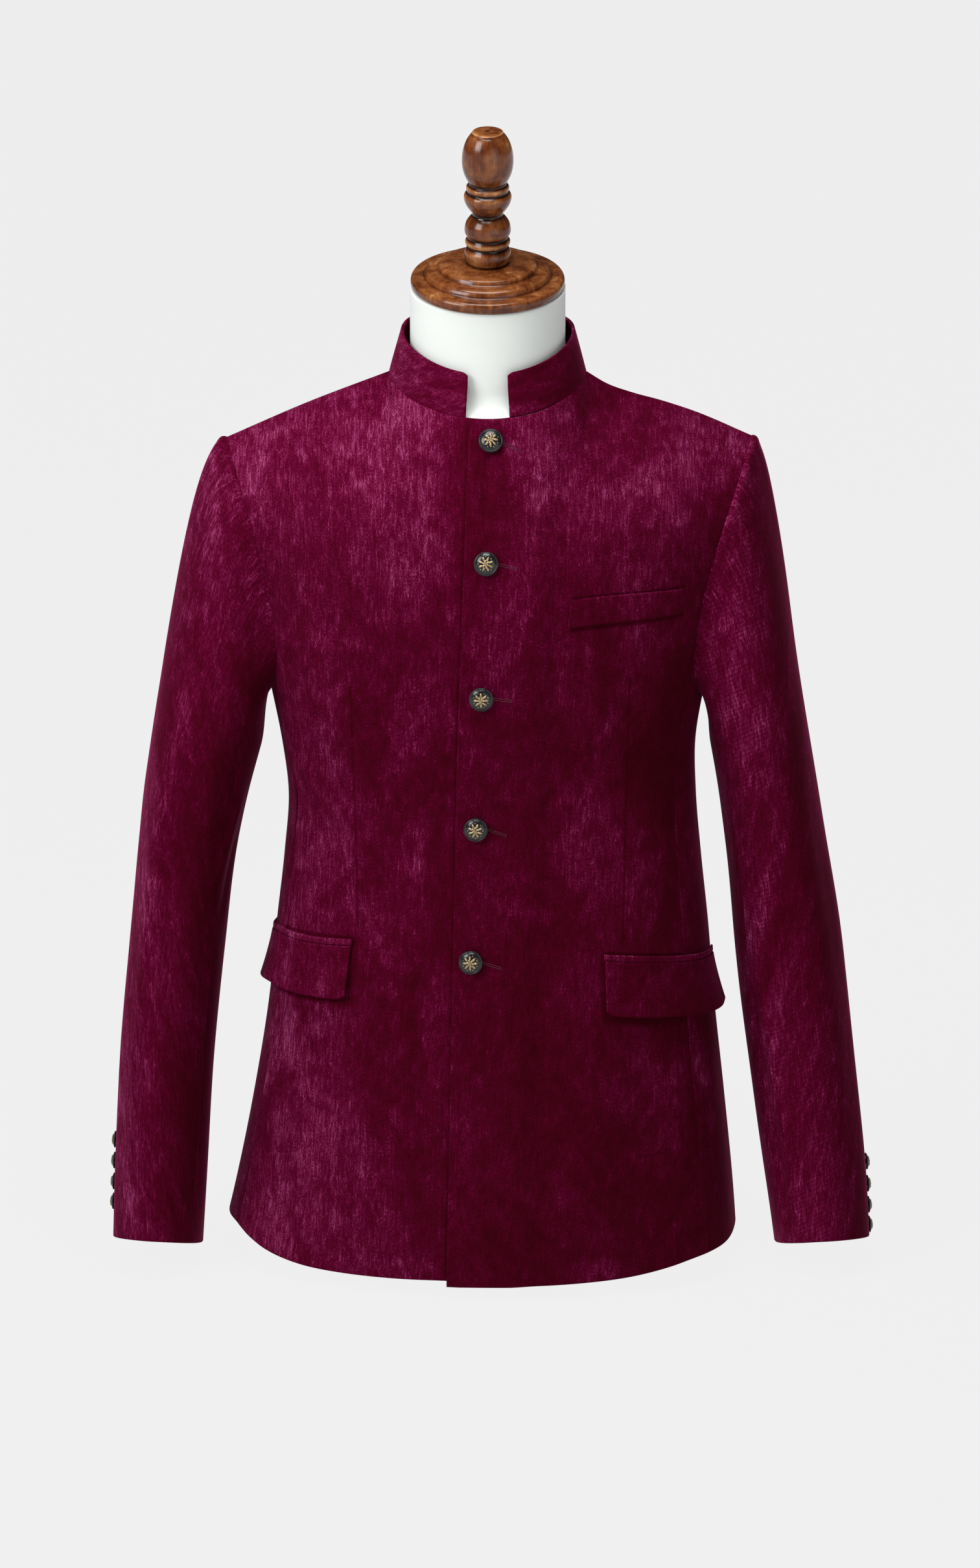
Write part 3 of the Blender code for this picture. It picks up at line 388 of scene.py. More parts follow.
def lengths_along(points):
    """Return each point's distance along its line of points, from the first, along axis 1."""
    steps = np.linalg.norm(np.diff(points, axis=1), axis=2)
    return np.concatenate((np.zeros((len(points), 1)), np.cumsum(steps, axis=1)), axis=1)


def refine_edge(channels, axis, last):
    """Add fine lines of points beside one edge of a grid, for its turned rounding."""
    grid = np.moveaxis(channels, axis, 0)
    if last:
        grid = grid[::-1]
    span = np.linalg.norm(grid[1, :, :3] - grid[0, :, :3], axis=1, keepdims=True)
    span = np.maximum(span, EDGE_RADIUS * EDGE_LEAST_STEP)
    lines = [grid[0] + (grid[1] - grid[0]) * (EDGE_RADIUS * share / span) for share in EDGE_LINES]
    grid = np.concatenate((grid[:1], np.array(lines), grid[1:]))
    if last:
        grid = grid[::-1]
    return np.moveaxis(grid, 0, axis)


def edge_distance(points):
    """Return each grid point's distance from the nearest edge of its piece."""
    across = lengths_along(points)
    along = lengths_along(points.transpose(1, 0, 2)).T
    spread = (across, across[:, -1:] - across, along, along[-1:] - along)
    return np.minimum.reduce(spread)


def band(low, high):
    """Return the faces between two rings of points, given by their numbers."""
    after = list(range(1, len(low))) + [0]
    return [(low[k], low[n], high[n], high[k]) for k, n in enumerate(after)]


def declare(piece, node=None):
    """Attach a piece to the root body, and hide the solid of the node that it stands for, if one is given."""
    if node is not None:
        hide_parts(node)
    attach(piece, "root")


def link_object(name, data):
    """Put an object with this data in the scene."""
    made = bpy.data.objects.new(name, data)
    bpy.context.collection.objects.link(made)
    return made


def add_object(name, points, faces, materials, faces_material=None, uv=None):
    """Make a smooth mesh object, in the row's frame."""
    mesh = bpy.data.meshes.new(name)
    mesh.from_pydata(np.asarray(points, dtype=float).tolist(), [], faces)
    for item in materials:
        mesh.materials.append(item)
    if faces_material is not None:
        mesh.polygons.foreach_set("material_index", np.asarray(faces_material, dtype=np.int32))
    if uv is not None:
        layer = mesh.uv_layers.new(name="cloth")
        loops = np.empty(len(mesh.loops), dtype=np.int32)
        mesh.loops.foreach_get("vertex_index", loops)
        layer.data.foreach_set("uv", np.asarray(uv, dtype=np.float32)[loops].ravel())
    mesh.shade_smooth()
    mesh.update()
    return link_object(name, mesh)


def flat_size(points):
    """Return the width, length and area that a grid of points lies flat in."""
    width = lengths_along(points)[:, -1].max()
    length = lengths_along(points.transpose(1, 0, 2))[:, -1].max()
    first = np.cross(points[:-1, 1:] - points[:-1, :-1], points[1:, :-1] - points[:-1, :-1])
    second = np.cross(points[1:, 1:] - points[:-1, 1:], points[1:, 1:] - points[1:, :-1])
    area = (np.linalg.norm(first, axis=2).sum() + np.linalg.norm(second, axis=2).sum()) / 2
    return float(width), float(length), float(area)


def sheet_faces(points, normals, lined):
    """Return the faces of a sheet's outer side, inner side and rim, and 1 for those in the lining."""
    rows, columns = points.shape[:2]
    index = np.arange(rows * columns).reshape(rows, columns)
    along = points[rows // 2 + 1, columns // 2] - points[rows // 2, columns // 2]
    across = points[rows // 2, columns // 2 + 1] - points[rows // 2, columns // 2]
    flip = np.dot(np.cross(across, along), normals[rows // 2, columns // 2]) < 0
    faces = []
    for grid, turned_over in ((index, flip), (index + rows * columns, not flip)):
        corners = (grid[:-1, :-1], grid[:-1, 1:], grid[1:, 1:], grid[1:, :-1])
        corners = corners[::-1] if turned_over else corners
        faces.append(np.stack([corner.ravel() for corner in corners], axis=1))
    rim = np.concatenate((index[0, :-1], index[:-1, -1], index[-1, :0:-1], index[:0:-1, 0]))
    after = np.roll(rim, -1)
    corners = (rim, rim + rows * columns, after + rows * columns, after)
    faces.append(np.stack(corners[::-1] if flip else corners, axis=1))
    kinds = np.concatenate((np.zeros(lined.size, dtype=int), lined.ravel(), np.zeros(len(rim), dtype=int)))
    return np.concatenate(faces).tolist(), kinds


def cloth_piece(name, points, normals, uv, thickness, materials, softness=1.0):
    """Make a closed sheet with softly turned edges from a grid of points on its outer face."""
    cut = flat_size(points)
    channels = np.concatenate((points, normals, uv), axis=2)
    for axis in (0, 1):
        for last in (False, True):
            channels = refine_edge(channels, axis, last)
    points = channels[..., :3]
    normals = unit(channels[..., 3:6])
    uv = channels[..., 6:8].reshape(-1, 2)
    distance = edge_distance(points)
    near = 1.0 - np.minimum(distance / (EDGE_RADIUS * softness), 1.0)
    drop = thickness * EDGE_DROP * softness * (1.0 - np.sqrt(np.maximum(1.0 - near ** 2, 0.0)))
    outer = points - normals * drop[..., None]
    inner = points - normals * (thickness - drop)[..., None]
    vertices = np.concatenate((outer.reshape(-1, 3), inner.reshape(-1, 3))) + SHIFT
    faces, kinds = sheet_faces(points, normals, distance[:-1, :-1] > FACING_WIDTH)
    made = add_object(name, vertices, faces, materials, kinds, np.concatenate((uv, uv)))
    return made


# Creases that the cloth falls into: x, z of both ends on the front, half width and height in metres
FRONT_CREASES = {
    -1.0: (
        (-0.160, 0.452, -0.120, 0.404, 0.010, 0.0016),
        (-0.170, 0.420, -0.135, 0.385, 0.009, -0.0010),
        (-0.075, 0.748, -0.056, 0.716, 0.006, 0.0014),
        (-0.062, 0.750, -0.045, 0.722, 0.005, -0.0010),
        (-0.050, 0.742, -0.036, 0.724, 0.004, 0.0010),
        (-0.150, 0.560, -0.128, 0.470, 0.016, 0.0018),
        (-0.090, 0.330, -0.100, 0.120, 0.030, 0.0022),
        (-0.045, 0.300, -0.050, 0.060, 0.028, -0.0016),
    ),
    1.0: (
        (0.0000, 0.715, -0.0010, 0.672, 0.004, -0.0012),
        (0.0080, 0.712, 0.0075, 0.680, 0.005, 0.0010),
        (0.062, 0.735, 0.105, 0.690, 0.010, 0.0010),
        (0.150, 0.560, 0.135, 0.480, 0.014, 0.0016),
        (0.080, 0.260, 0.085, 0.050, 0.030, 0.0020),
        (0.130, 0.220, 0.140, 0.050, 0.022, -0.0014),
    ),
}


# How far past its ends a crease runs, and how long it fades there, as shares of its length
RIDGE_PAST = 0.15
RIDGE_FADE = 0.35


def ridge(x, z, crease):
    """Return the height of one crease at points: a soft ridge that fades at both ends."""
    x0, z0, x1, z1, half, height = crease
    run = np.array((x1 - x0, z1 - z0))
    length = np.linalg.norm(run)
    run = run / length
    along = ((x - x0) * run[0] + (z - z0) * run[1]) / length
    across = (x - x0) * -run[1] + (z - z0) * run[0]
    rise = smooth_step((along + RIDGE_PAST) / RIDGE_FADE)
    fall = smooth_step((1.0 + RIDGE_PAST - along) / RIDGE_FADE)
    return height * np.exp(-(across / half) ** 2) * rise * fall


# Slow waves of the cloth: how many are summed, their upright share, and their scale and height on the body
WAVES = 7
WAVE_UPRIGHT = 0.55
BODY_WAVE_SCALE = 42.0
BODY_WAVE_HEIGHT = 0.0011
FRONT_SEEDS = {1.0: 11, -1.0: 12}
BACK_SEEDS = {1.0: 21, -1.0: 22}
SLEEVE_SEEDS = {1.0: 31, -1.0: 32}
COLLAR_SEED = 41


def soft_noise(x, z, seed, scale, height):
    """Return slow waves that never repeat, so that no stretch of cloth lies perfectly even."""
    rng = np.random.default_rng(seed)
    total = np.zeros(np.broadcast(x, z).shape)
    for _ in range(WAVES):
        kx, kz = rng.normal(size=2) * (1.0, WAVE_UPRIGHT) * scale
        total = total + np.sin(kx * x + kz * z + rng.uniform(0, 2 * math.pi))
    return height * total / WAVES


def body_waves(points, creases, seed):
    """Return how far creases and slow waves lift the cloth at points of the coat's body."""
    x = points[..., 0]
    z = points[..., 2]
    lift = soft_noise(x, z, seed, BODY_WAVE_SCALE, BODY_WAVE_HEIGHT)
    return lift + sum(ridge(x, z, crease) for crease in creases)


# Angles and texture coordinates of each front's grid, which its welt and pockets take up
FRONT_GRAIN = {}

# Where the other pieces' texture coordinates start, so that no two pieces look alike
GRAIN_STARTS = {
    "back": {1.0: 2.5, -1.0: 3.5},
    "side": {1.0: 4.5, -1.0: 5.5},
    "sleeve": {1.0: 6.5, -1.0: 8.5},
}
COLLAR_GRAIN_START = 10.5


def grain(points, start, side=1.0):
    """Return texture coordinates in metres: level distance across the columns, and length upwards."""
    across = (lengths_along(points * (1.0, 1.0, 0.0)) + start) * side
    along = points[:1, :, 2] + lengths_along(points.transpose(1, 0, 2)).T
    return np.stack((across, along), axis=2)


def upright_grain(points, levels, start, side, facing=1.0):
    """Return texture coordinates whose grain stays upright above the armhole, by where the points stand."""
    uv = grain(points, start, side * facing)
    chest = int(np.argmin(abs(levels - 1.0)))
    out = side * points[..., 0]
    for row in range(chest + 1, len(points)):
        past = np.maximum(out[row] - out[chest, -1], 0.0) * side * facing
        uv[row, :, 0] = np.interp(out[row], out[chest], uv[chest, :, 0]) + past
    return uv


def grain_on_front(phi, level, side):
    """Return the texture coordinates of a front at angles and levels."""
    levels, angles, uv = FRONT_GRAIN[side]
    row = np.clip(np.searchsorted(levels, level) - 1, 0, len(levels) - 2)
    share = np.clip((level - levels[row]) / (levels[row + 1] - levels[row]), 0.0, 1.0)
    out = np.empty(phi.shape + (2,))
    for low in np.unique(row):
        here = row == low
        for axis in (0, 1):
            rows = (low, low + 1)
            below, above = (np.interp(side * phi[here], side * angles[k], uv[k, :, axis]) for k in rows)
            out[here, axis] = below + (above - below) * share[here]
    return out


def lap_lift(points):
    """Return how far the upper front stands out, over the lower front."""
    reach = (points[..., 0] - front_line(points[..., 2]) - LAP - LAP_MARGIN) / LAP_FADE
    return LAP_LIFT * (1.0 - smooth_step(reach))


def finish_top(points, normals, corner, behind):
    """Cut the neckline's edge level, and part the two upright edges of the shoulder seam."""
    normals[-1, :corner, 2] = 0.0
    normals[-1, corner:, 1] = 0.0
    normals[-1] = unit(normals[-1])
    points[-1, corner:, 1] += SEAM_GAP / 2 if behind else -SEAM_GAP / 2


# Where creases fade: levels below the top seams, degrees beside the armhole, and the armhole's first level
SEAM_FADE = 0.10
ARMHOLE_FADE = 12.0
ARMHOLE_LEVEL = 0.85


def seam_keep(phi, level):
    """Return how freely cloth moves: 1 in the open, 0 beside the shoulder and neck seams."""
    high = smooth_step((2.0 - level) / SEAM_FADE)
    beside = smooth_step((ARMHOLE_FRONT - folded(phi)) / ARMHOLE_FADE)
    return high * np.where(level > ARMHOLE_LEVEL, beside, 1.0)


def front_piece(side, velvet, lining):
    """Make a front, with its creases, from its front edge outwards."""
    levels = panel_levels(SIDE_SEAM_FRONT)
    heights = body_points(0.0, levels)[:, 2]
    near_top = np.maximum(0.0, (levels - FRONT_CORNER_LEVEL) / (2.0 - FRONT_CORNER_LEVEL))
    rounding = FRONT_CORNER * near_top ** 2 if side > 0 else 0.0
    edge = angle_at(front_line(heights) - side * (lap_width(heights) - rounding), levels)
    outer = side * outer_angle(levels, False)
    counts = (FINE_LAP, NECK_COLUMNS * FINE_NECK, SHOULDER_COLUMNS * FINE_SHOULDER)
    phi = np.array([finer([e, 0.0, side * NECK_POINT, o], counts) for e, o in zip(edge, outer)])
    level = np.broadcast_to(levels[:, None], phi.shape)
    if side < 0:
        lift = RIGHT_HEM_LIFT * np.maximum(0.0, 1.0 + phi / SIDE_SEAM_FRONT) / CHEST_Z
        level = level + np.maximum(0.0, 1.0 - level) * lift
    points, normals = skin(phi, level)
    finish_top(points, normals, FINE_LAP + NECK_COLUMNS * FINE_NECK, False)
    uv = upright_grain(points, levels, (rounding - lap_width(heights))[:, None], side)
    FRONT_GRAIN[side] = (levels, phi, uv)
    keep = seam_keep(phi, level)
    if side < 0:
        past = points[..., 0] - front_line(points[..., 2])
        keep = keep * smooth_step((np.abs(past) - BUTTONS_CALM) / BUTTONS_FADE)
        keep = keep * smooth_step((LAP - past - LAP_CALM) / LAP_CALM_FADE)
    lift = body_waves(points, FRONT_CREASES[side], FRONT_SEEDS[side]) * keep
    points = points + normals * lift[..., None]
    if side > 0:
        points = points + normals * lap_lift(points)[..., None]
    return cloth_piece(f"{side_name(side)}_front_panel", points, normals, uv, WALL, (velvet, lining))


# The backs meet closer than the solids do, so that no slit shows the post
BACK_SEAM_ANGLE = 0.01
BACK_SEAM_FADE = 8.0


def back_piece(side, velvet, lining):
    """Make a back, from the centre back seam outwards."""
    levels = panel_levels(SIDE_SEAM_BACK)
    outer = outer_angle(levels, True)
    counts = (NECK_COLUMNS * FINE_NECK, SHOULDER_COLUMNS * FINE_SHOULDER)
    phi = np.array([finer([180.0 - BACK_SEAM_ANGLE, 180.0 - NECK_POINT, o], counts) for o in outer]) * side
    level = np.broadcast_to(levels[:, None], phi.shape)
    points, normals = skin(phi, level)
    finish_top(points, normals, NECK_COLUMNS * FINE_NECK, True)
    uv = upright_grain(points, levels, GRAIN_STARTS["back"][side], side, -1.0)
    keep = seam_keep(phi, level) * smooth_step((180.0 - np.abs(phi)) / BACK_SEAM_FADE)
    points = points + normals * (body_waves(points, (), BACK_SEEDS[side]) * keep)[..., None]
    return cloth_piece(f"{side_name(side)}_back_panel", points, normals, uv, WALL, (velvet, lining))


def side_piece(side, velvet, lining):
    """Make a side panel, from its front seam to its back seam."""
    start = SIDE_SEAM_FRONT + SEAM_ANGLE
    end = SIDE_SEAM_BACK - SEAM_ANGLE
    phi = np.linspace(start, end, SIDE_COLUMNS * FINE_SIDE + 1)[None, :]
    share = np.linspace(0.0, 1.0, SKIRT_ROWS * FINE_SKIRT + 1)[:, None]
    level = level_at(phi, armhole_height(phi)) * share
    phi = np.broadcast_to(phi, level.shape) * side
    points, normals = skin(phi, level)
    uv = grain(points, GRAIN_STARTS["side"][side], side)
    return cloth_piece(f"{side_name(side)}_side_panel", points, normals, uv, WALL, (velvet, lining))


def armhole_point(s, side):
    """Return a point of the armhole, numbered by the solids' columns from its top down the front."""
    front_count = YOKE_ROWS + ARMHOLE_ROWS
    total = 2 * front_count + SIDE_COLUMNS
    s = s % total
    behind = s > front_count + SIDE_COLUMNS
    if s <= front_count or behind:
        down = s if not behind else total - s
        start = float(level_at(SIDE_SEAM_BACK if behind else SIDE_SEAM_FRONT, JUNCTION_Z))
        if down <= YOKE_ROWS:
            level = 2.0 - down / YOKE_ROWS
        else:
            level = 1.0 + (start - 1.0) * (down - YOKE_ROWS) / ARMHOLE_ROWS
        point = body_points(side * outer_angle(np.array(level), behind), level)
        if level == 2.0:
            point = point + np.array((0.0, -SEAM_GAP / 2, 0.0))
        return point
    start = SIDE_SEAM_FRONT + SEAM_ANGLE
    end = SIDE_SEAM_BACK - SEAM_ANGLE
    phi = start + (end - start) * (s - front_count) / SIDE_COLUMNS
    return body_points(side * phi, level_at(phi, armhole_height(phi)))


def loop_angles(side):
    """Return the angle of each armhole column round the sleeve, 0 on top and 90 in front."""
    total = 2 * (YOKE_ROWS + ARMHOLE_ROWS) + SIDE_COLUMNS
    loop = np.array([armhole_point(float(k), side) for k in range(total)])
    steps = np.linalg.norm(np.roll(loop, -1, axis=0) - loop, axis=1)
    return 360.0 * np.concatenate(((0.0,), np.cumsum(steps)[:-1])) / steps.sum()


def sleeve_points(side, turn, z):
    """Return points of the sleeve below the armhole at angles in degrees."""
    forward, depth, *widths = np.moveaxis(table_rows(SLEEVE_SECTIONS, z), -1, 0)
    out, half = widths[2:] if side > 0 else widths[:2]
    angle = np.radians(turn)
    reach = signed_power(np.cos(angle), SLEEVE_POWER)
    ahead = signed_power(np.sin(angle), SLEEVE_POWER)
    fall = (SLEEVE_RING_Z - z) / (SLEEVE_RING_Z - CUFF_Z)
    tilt = fall * (CUFF_TILT * np.sin(angle) - CUFF_SLANT * (1 - np.cos(angle)) / 2)
    return np.stack((side * (out + half * reach), forward - depth * ahead, z + tilt), axis=-1)


def head_points(start, ring, under, side, turn, t, push):
    """Return points between the armhole, 0, and the sleeve's first ring, 1."""
    span = np.linalg.norm(ring - start, axis=-1, keepdims=True)
    middle = (HEAD_RISE + UNDERARM_FALL) / 2
    rise = middle + (HEAD_RISE - UNDERARM_FALL) / 2 * np.cos(np.radians(turn))
    leave = unit(np.stack((np.full(turn.shape, side), np.zeros(turn.shape), rise), axis=-1))
    leave *= push * np.minimum(span, HEAD_SPAN) / span
    return curve(t, span, start, leave, ring, unit(under))


# Creases of the sleeves: angle and height of both ends, half width in degrees, and height in metres
SLEEVE_CREASES = {
    -1.0: (
        (60.0, 0.46, 52.0, 0.26, 13.0, 0.0028),
        (150.0, 0.42, 132.0, 0.34, 10.0, 0.0024),
        (165.0, 0.38, 148.0, 0.31, 9.0, -0.0018),
        (85.0, 0.22, 78.0, 0.05, 15.0, 0.0018),
        (40.0, 0.30, 36.0, 0.10, 12.0, -0.0014),
    ),
    1.0: (
        (128.0, 0.26, 116.0, 0.05, 8.0, 0.0022),
        (142.0, 0.24, 132.0, 0.06, 7.0, -0.0018),
        (112.0, 0.46, 96.0, 0.30, 11.0, 0.0024),
        (60.0, 0.42, 70.0, 0.18, 16.0, 0.0016),
        (30.0, 0.40, 34.0, 0.12, 14.0, -0.0014),
    ),
}

# How far out the sleeve's edge starts from the armhole; below 0 it is tucked in and shows no slit
SLEEVE_TUCK = -0.0005

# The roll of cloth beside the armhole, and how far down the sleeve the head holds it smooth
ROLL_HEIGHT = 0.0011
ROLL_MIDDLE = 0.0050
ROLL_HALF = 0.0040
ROLL_FADE = 0.6
HEAD_FADE = 0.05

# Metres that a degree round the sleeve counts for, in its grain and creases and in its waves
SLEEVE_DEGREE = 0.00075
SLEEVE_WAVE_DEGREE = 0.0012

# Scale and height of the sleeve's waves
SLEEVE_WAVES = (45.0, 0.0014)


def part_seams(points):
    """Draw both outer columns of a sleeve's piece back from the seam."""
    for edge, beside in ((0, 1), (-1, -2)):
        step = points[:, beside] - points[:, edge]
        slide = SEAM_GAP / 2 / np.maximum(np.linalg.norm(step, axis=1), 1e-6)
        points[:, edge] += step * slide[:, None]


def grid_normals(points):
    """Return the normals of a grid of points, to one side of it."""
    return unit(np.cross(np.gradient(points, axis=0), np.gradient(points, axis=1)))


def sleeve_pieces(side, velvet, lining):
    """Make a sleeve's upper and under pieces, with the rolled head that stands up beside the armhole."""
    columns = loop_angles(side)
    total = len(columns)
    even = 360.0 * np.arange(total) / total
    goals = (columns + even) / 2
    front = int(np.argmin(abs(goals - SLEEVE_FRONT_SEAM)))
    back = int(np.argmin(abs(goals - SLEEVE_BACK_SEAM)))
    made = []
    for label, low, high in (("upper", back, front + total), ("under", front, back)):
        s = np.linspace(low, high, (high - low) * FINE_ROUND + 1)
        turn = np.interp(s, np.arange(2 * total + 1), np.concatenate((columns, columns + 360.0, (720.0,))))
        goal = (turn + 360.0 * s / total) / 2
        heights = np.linspace(SLEEVE_RING_Z, CUFF_Z, ARM_ROWS + 1)
        arm = [sleeve_points(side, goal, z) for z in heights]
        start = np.array([armhole_point(value, side) for value in s])
        start[:, 0] += side * SLEEVE_TUCK
        below = sleeve_points(side, goal, SLEEVE_RING_Z - HEAD_RUN) - arm[0]
        shares = np.arange(HEAD_ROWS * FINE_HEAD) / (HEAD_ROWS * FINE_HEAD)
        head = [head_points(start, arm[0], below, side, turn, t, HEAD_PUSH[side]) for t in shares]
        points = np.array(head + arm)
        part_seams(points)
        normals = grid_normals(points)
        outward = points[-4] - points[-4].mean(axis=0)
        if np.sum(normals[-4] * outward) < 0:
            normals = -normals
        edge = unit(np.cross(np.gradient(points[0], axis=0), (side, 0.0, 0.0)))
        normals[0] = edge * np.sign(np.sum(edge * normals[1], axis=1, keepdims=True))
        down = lengths_along(points.transpose(1, 0, 2)).T
        around = np.broadcast_to(goal * SLEEVE_DEGREE, points.shape[:2])
        uv = np.stack((GRAIN_STARTS["sleeve"][side] - around * side, -down), axis=2)
        top = np.clip(np.cos(np.radians(turn)), 0.0, 1.0)[None, :] ** ROLL_FADE
        roll = ROLL_HEIGHT * np.exp(-((down - ROLL_MIDDLE) / ROLL_HALF) ** 2) * top
        z = points[..., 2]
        angle = np.broadcast_to(goal % 360.0, z.shape)
        lift = soft_noise(angle * SLEEVE_WAVE_DEGREE, z, SLEEVE_SEEDS[side], *SLEEVE_WAVES)
        for crease in SLEEVE_CREASES[side]:
            in_metres = np.array(crease) * (SLEEVE_DEGREE, 1.0, SLEEVE_DEGREE, 1.0, SLEEVE_DEGREE, 1.0)
            lift = lift + ridge(angle * SLEEVE_DEGREE, z, in_metres)
        lift = lift * smooth_step(down / HEAD_FADE)
        points = points + normals * (lift + roll)[..., None]
        name = f"{side_name(side)}_sleeve_{label}"
        made.append((name, cloth_piece(f"{name}_cut", points, normals, uv, WALL, (velvet, lining))))
    return made


# Collar
COLLAR_OPENING = 13.0
RIM_HALF = 0.0730
RIM_FRONT = 0.0745
RIM_BACK = 0.0620
COLLAR_HEIGHT = 0.0360
COLLAR_SEAT = -0.0004
COLLAR_CORNER_DROP = 0.0015
COLLAR_FINE_COLUMNS = 204
COLLAR_FINE_ROWS = 22
COLLAR_CORNER_REACH = 0.006
COLLAR_CORNER_SHARE = 1.6
COLLAR_CORNER_LOW = 0.7
COLLAR_WAVES = (60.0, 0.0006)
COLLAR_FADE = 0.25
COLLAR_SOFTNESS = 1.25

# How many times shorter the streaks are on the collar than on the rest of the coat
COLLAR_GRAIN = 4.0

# Creases of the collar: distance along it from the wearer's left end and height above its seam
COLLAR_CREASES = (
    (0.0060, 0.034, 0.0200, 0.004, 0.0020, 0.0007),
    (0.0480, 0.034, 0.0600, 0.010, 0.0040, 0.0008),
    (0.3600, 0.030, 0.3720, 0.008, 0.0050, 0.0007),
)


def collar_piece(velvet):
    """Make the stand collar, from its seam to its rolled rim."""
    rise = np.linspace(0.0, 1.0, COLLAR_FINE_ROWS + 1)[:, None]
    turn = np.linspace(COLLAR_OPENING, 360.0 - COLLAR_OPENING, COLLAR_FINE_COLUMNS + 1)[None, :]
    base = neckline(turn)
    angle = np.radians(turn)
    y = -np.where(np.cos(angle) > 0, RIM_FRONT, RIM_BACK) * np.cos(angle)
    rim = np.stack((RIM_HALF * np.sin(angle), y, base[..., 2] + COLLAR_HEIGHT), axis=-1)
    points = base + (rim - base) * rise[..., None]
    points[..., 2] += COLLAR_SEAT * (1 - rise)
    along = lengths_along(points)
    from_end = np.minimum(along, along[:, -1:] - along)
    near = np.clip(1.0 - from_end / COLLAR_CORNER_REACH, 0.0, 1.0)
    high = np.clip((rise - COLLAR_CORNER_LOW) / (1.0 - COLLAR_CORNER_LOW), 0.0, 1.0)
    points[..., 2] -= COLLAR_CORNER_DROP * COLLAR_CORNER_SHARE * near ** 2 * high
    normals = grid_normals(points)
    if normals[COLLAR_FINE_ROWS // 2, COLLAR_FINE_COLUMNS // 2, 1] < 0:
        normals = -normals
    normals[0, :, 2] = 0.0
    normals[0] = unit(normals[0])
    lift = soft_noise(along, points[..., 2], COLLAR_SEED, *COLLAR_WAVES)
    for crease in COLLAR_CREASES:
        lift = lift + ridge(along, points[..., 2] - base[..., 2], crease)
    points = points + normals * (lift * smooth_step(rise / COLLAR_FADE))[..., None]
    up = np.broadcast_to(rise * COLLAR_HEIGHT * COLLAR_GRAIN, along.shape)
    uv = np.stack((along + COLLAR_GRAIN_START, up), axis=2)
    return cloth_piece("stand_collar", points, normals, uv, COLLAR_WALL, (velvet, velvet), COLLAR_SOFTNESS)


def place(x, z):
    """Return the angles and levels at which the front stands at x and z."""
    x, z = np.broadcast_arrays(np.asarray(x, dtype=float), np.asarray(z, dtype=float))
    level = np.ones(x.shape)
    phi = np.zeros(x.shape)
    for _ in range(5):
        above = 1.0 + (z - CHEST_Z) / (top_points(phi)[..., 2] - CHEST_Z)
        level = np.where(z <= CHEST_Z, level_at(phi, z), above)
        phi = angle_at(x, level)
    return phi, level


# Chest welt: its corners on the wearer's left front, x and z, inner and outer below, then above
WELT_CORNERS = ((0.0664, 0.5851), (0.1591, 0.5890), (0.0686, 0.6089), (0.1614, 0.6101))
WELT_THICK = 0.0016
ON_PANEL = 0.0006
WELT_FINE = (14, 60)

# Hip pockets: angle and height of each flap's inner and outer top corner, and its drop there
FLAPS = (
    ("left", 1.0, 36.4, 0.2961, 0.0470, 92.0, 0.2758, 0.0450),
    ("right", -1.0, 34.2, 0.3030, 0.0470, 90.0, 0.2850, 0.0430),
)
FLAP_THICK = 0.0026
FLAP_STAND_INNER = 0.0030
FLAP_STAND_OUTER = 0.0075
FLAP_WIDTH = 0.140
FLAP_CORNER = 0.010
FLAP_CORNER_RISE = 0.0035
FLAP_CURL = 1.3
FLAP_FINE = (28, 90)
FLAP_GRAIN_END = 67.0
JET_HEIGHT = 0.0055
JET_OVERHANG = 0.3
JET_THICK = 0.0022
JET_ROWS = 8

# How deep what is sewn on follows the front's relief, and over how many degrees that ends at the side seam
RELIEF_FLOOR = -0.0004
RELIEF_FADE = 12.0
SEWN_SOFTNESS = 1.6


def raised(phi, level, side, height):
    """Return points at a height over a front with its waves and creases, and the normals there."""
    points, normals = skin(phi, level)
    relief = body_waves(points, FRONT_CREASES[side], FRONT_SEEDS[side]) * seam_keep(phi, level)
    on_front = smooth_step((SIDE_SEAM_FRONT + RELIEF_FADE / 2 - np.abs(phi)) / RELIEF_FADE)
    lift = height + np.maximum(relief * on_front, RELIEF_FLOOR)
    return points + normals * lift[..., None], normals


def past_seam(uv, points, phi, side):
    """Carry a pocket piece's texture coordinates on past the front's side seam, at its own length."""
    beyond = np.abs(phi) > FLAP_GRAIN_END
    across = lengths_along(points)
    column = np.argmax(beyond, axis=1) - 1
    out = uv.copy()
    for row in range(len(uv)):
        if beyond[row].any():
            last = max(column[row], 0)
            run = across[row] - across[row, last]
            out[row, beyond[row], 0] = uv[row, last, 0] + side * run[beyond[row]]
            out[row, beyond[row], 1] = uv[row, last, 1]
    return out


def welt_piece(velvet):
    """Make the slanting welt of the chest pocket."""
    ends = [np.array(place(*corner)) for corner in WELT_CORNERS]
    up = np.linspace(0.0, 1.0, WELT_FINE[0] + 1)[:, None, None]
    over = np.linspace(0.0, 1.0, WELT_FINE[1] + 1)[None, :, None]
    low = ends[0] + (ends[1] - ends[0]) * over
    high = ends[2] + (ends[3] - ends[2]) * over
    phi, level = np.moveaxis(low + (high - low) * up, -1, 0)
    points, normals = raised(phi, level, 1.0, ON_PANEL + WELT_THICK)
    uv = grain_on_front(phi, level, 1.0)
    both = (velvet, velvet)
    return cloth_piece("chest_pocket_welt", points, normals, uv, WELT_THICK, both, SEWN_SOFTNESS)


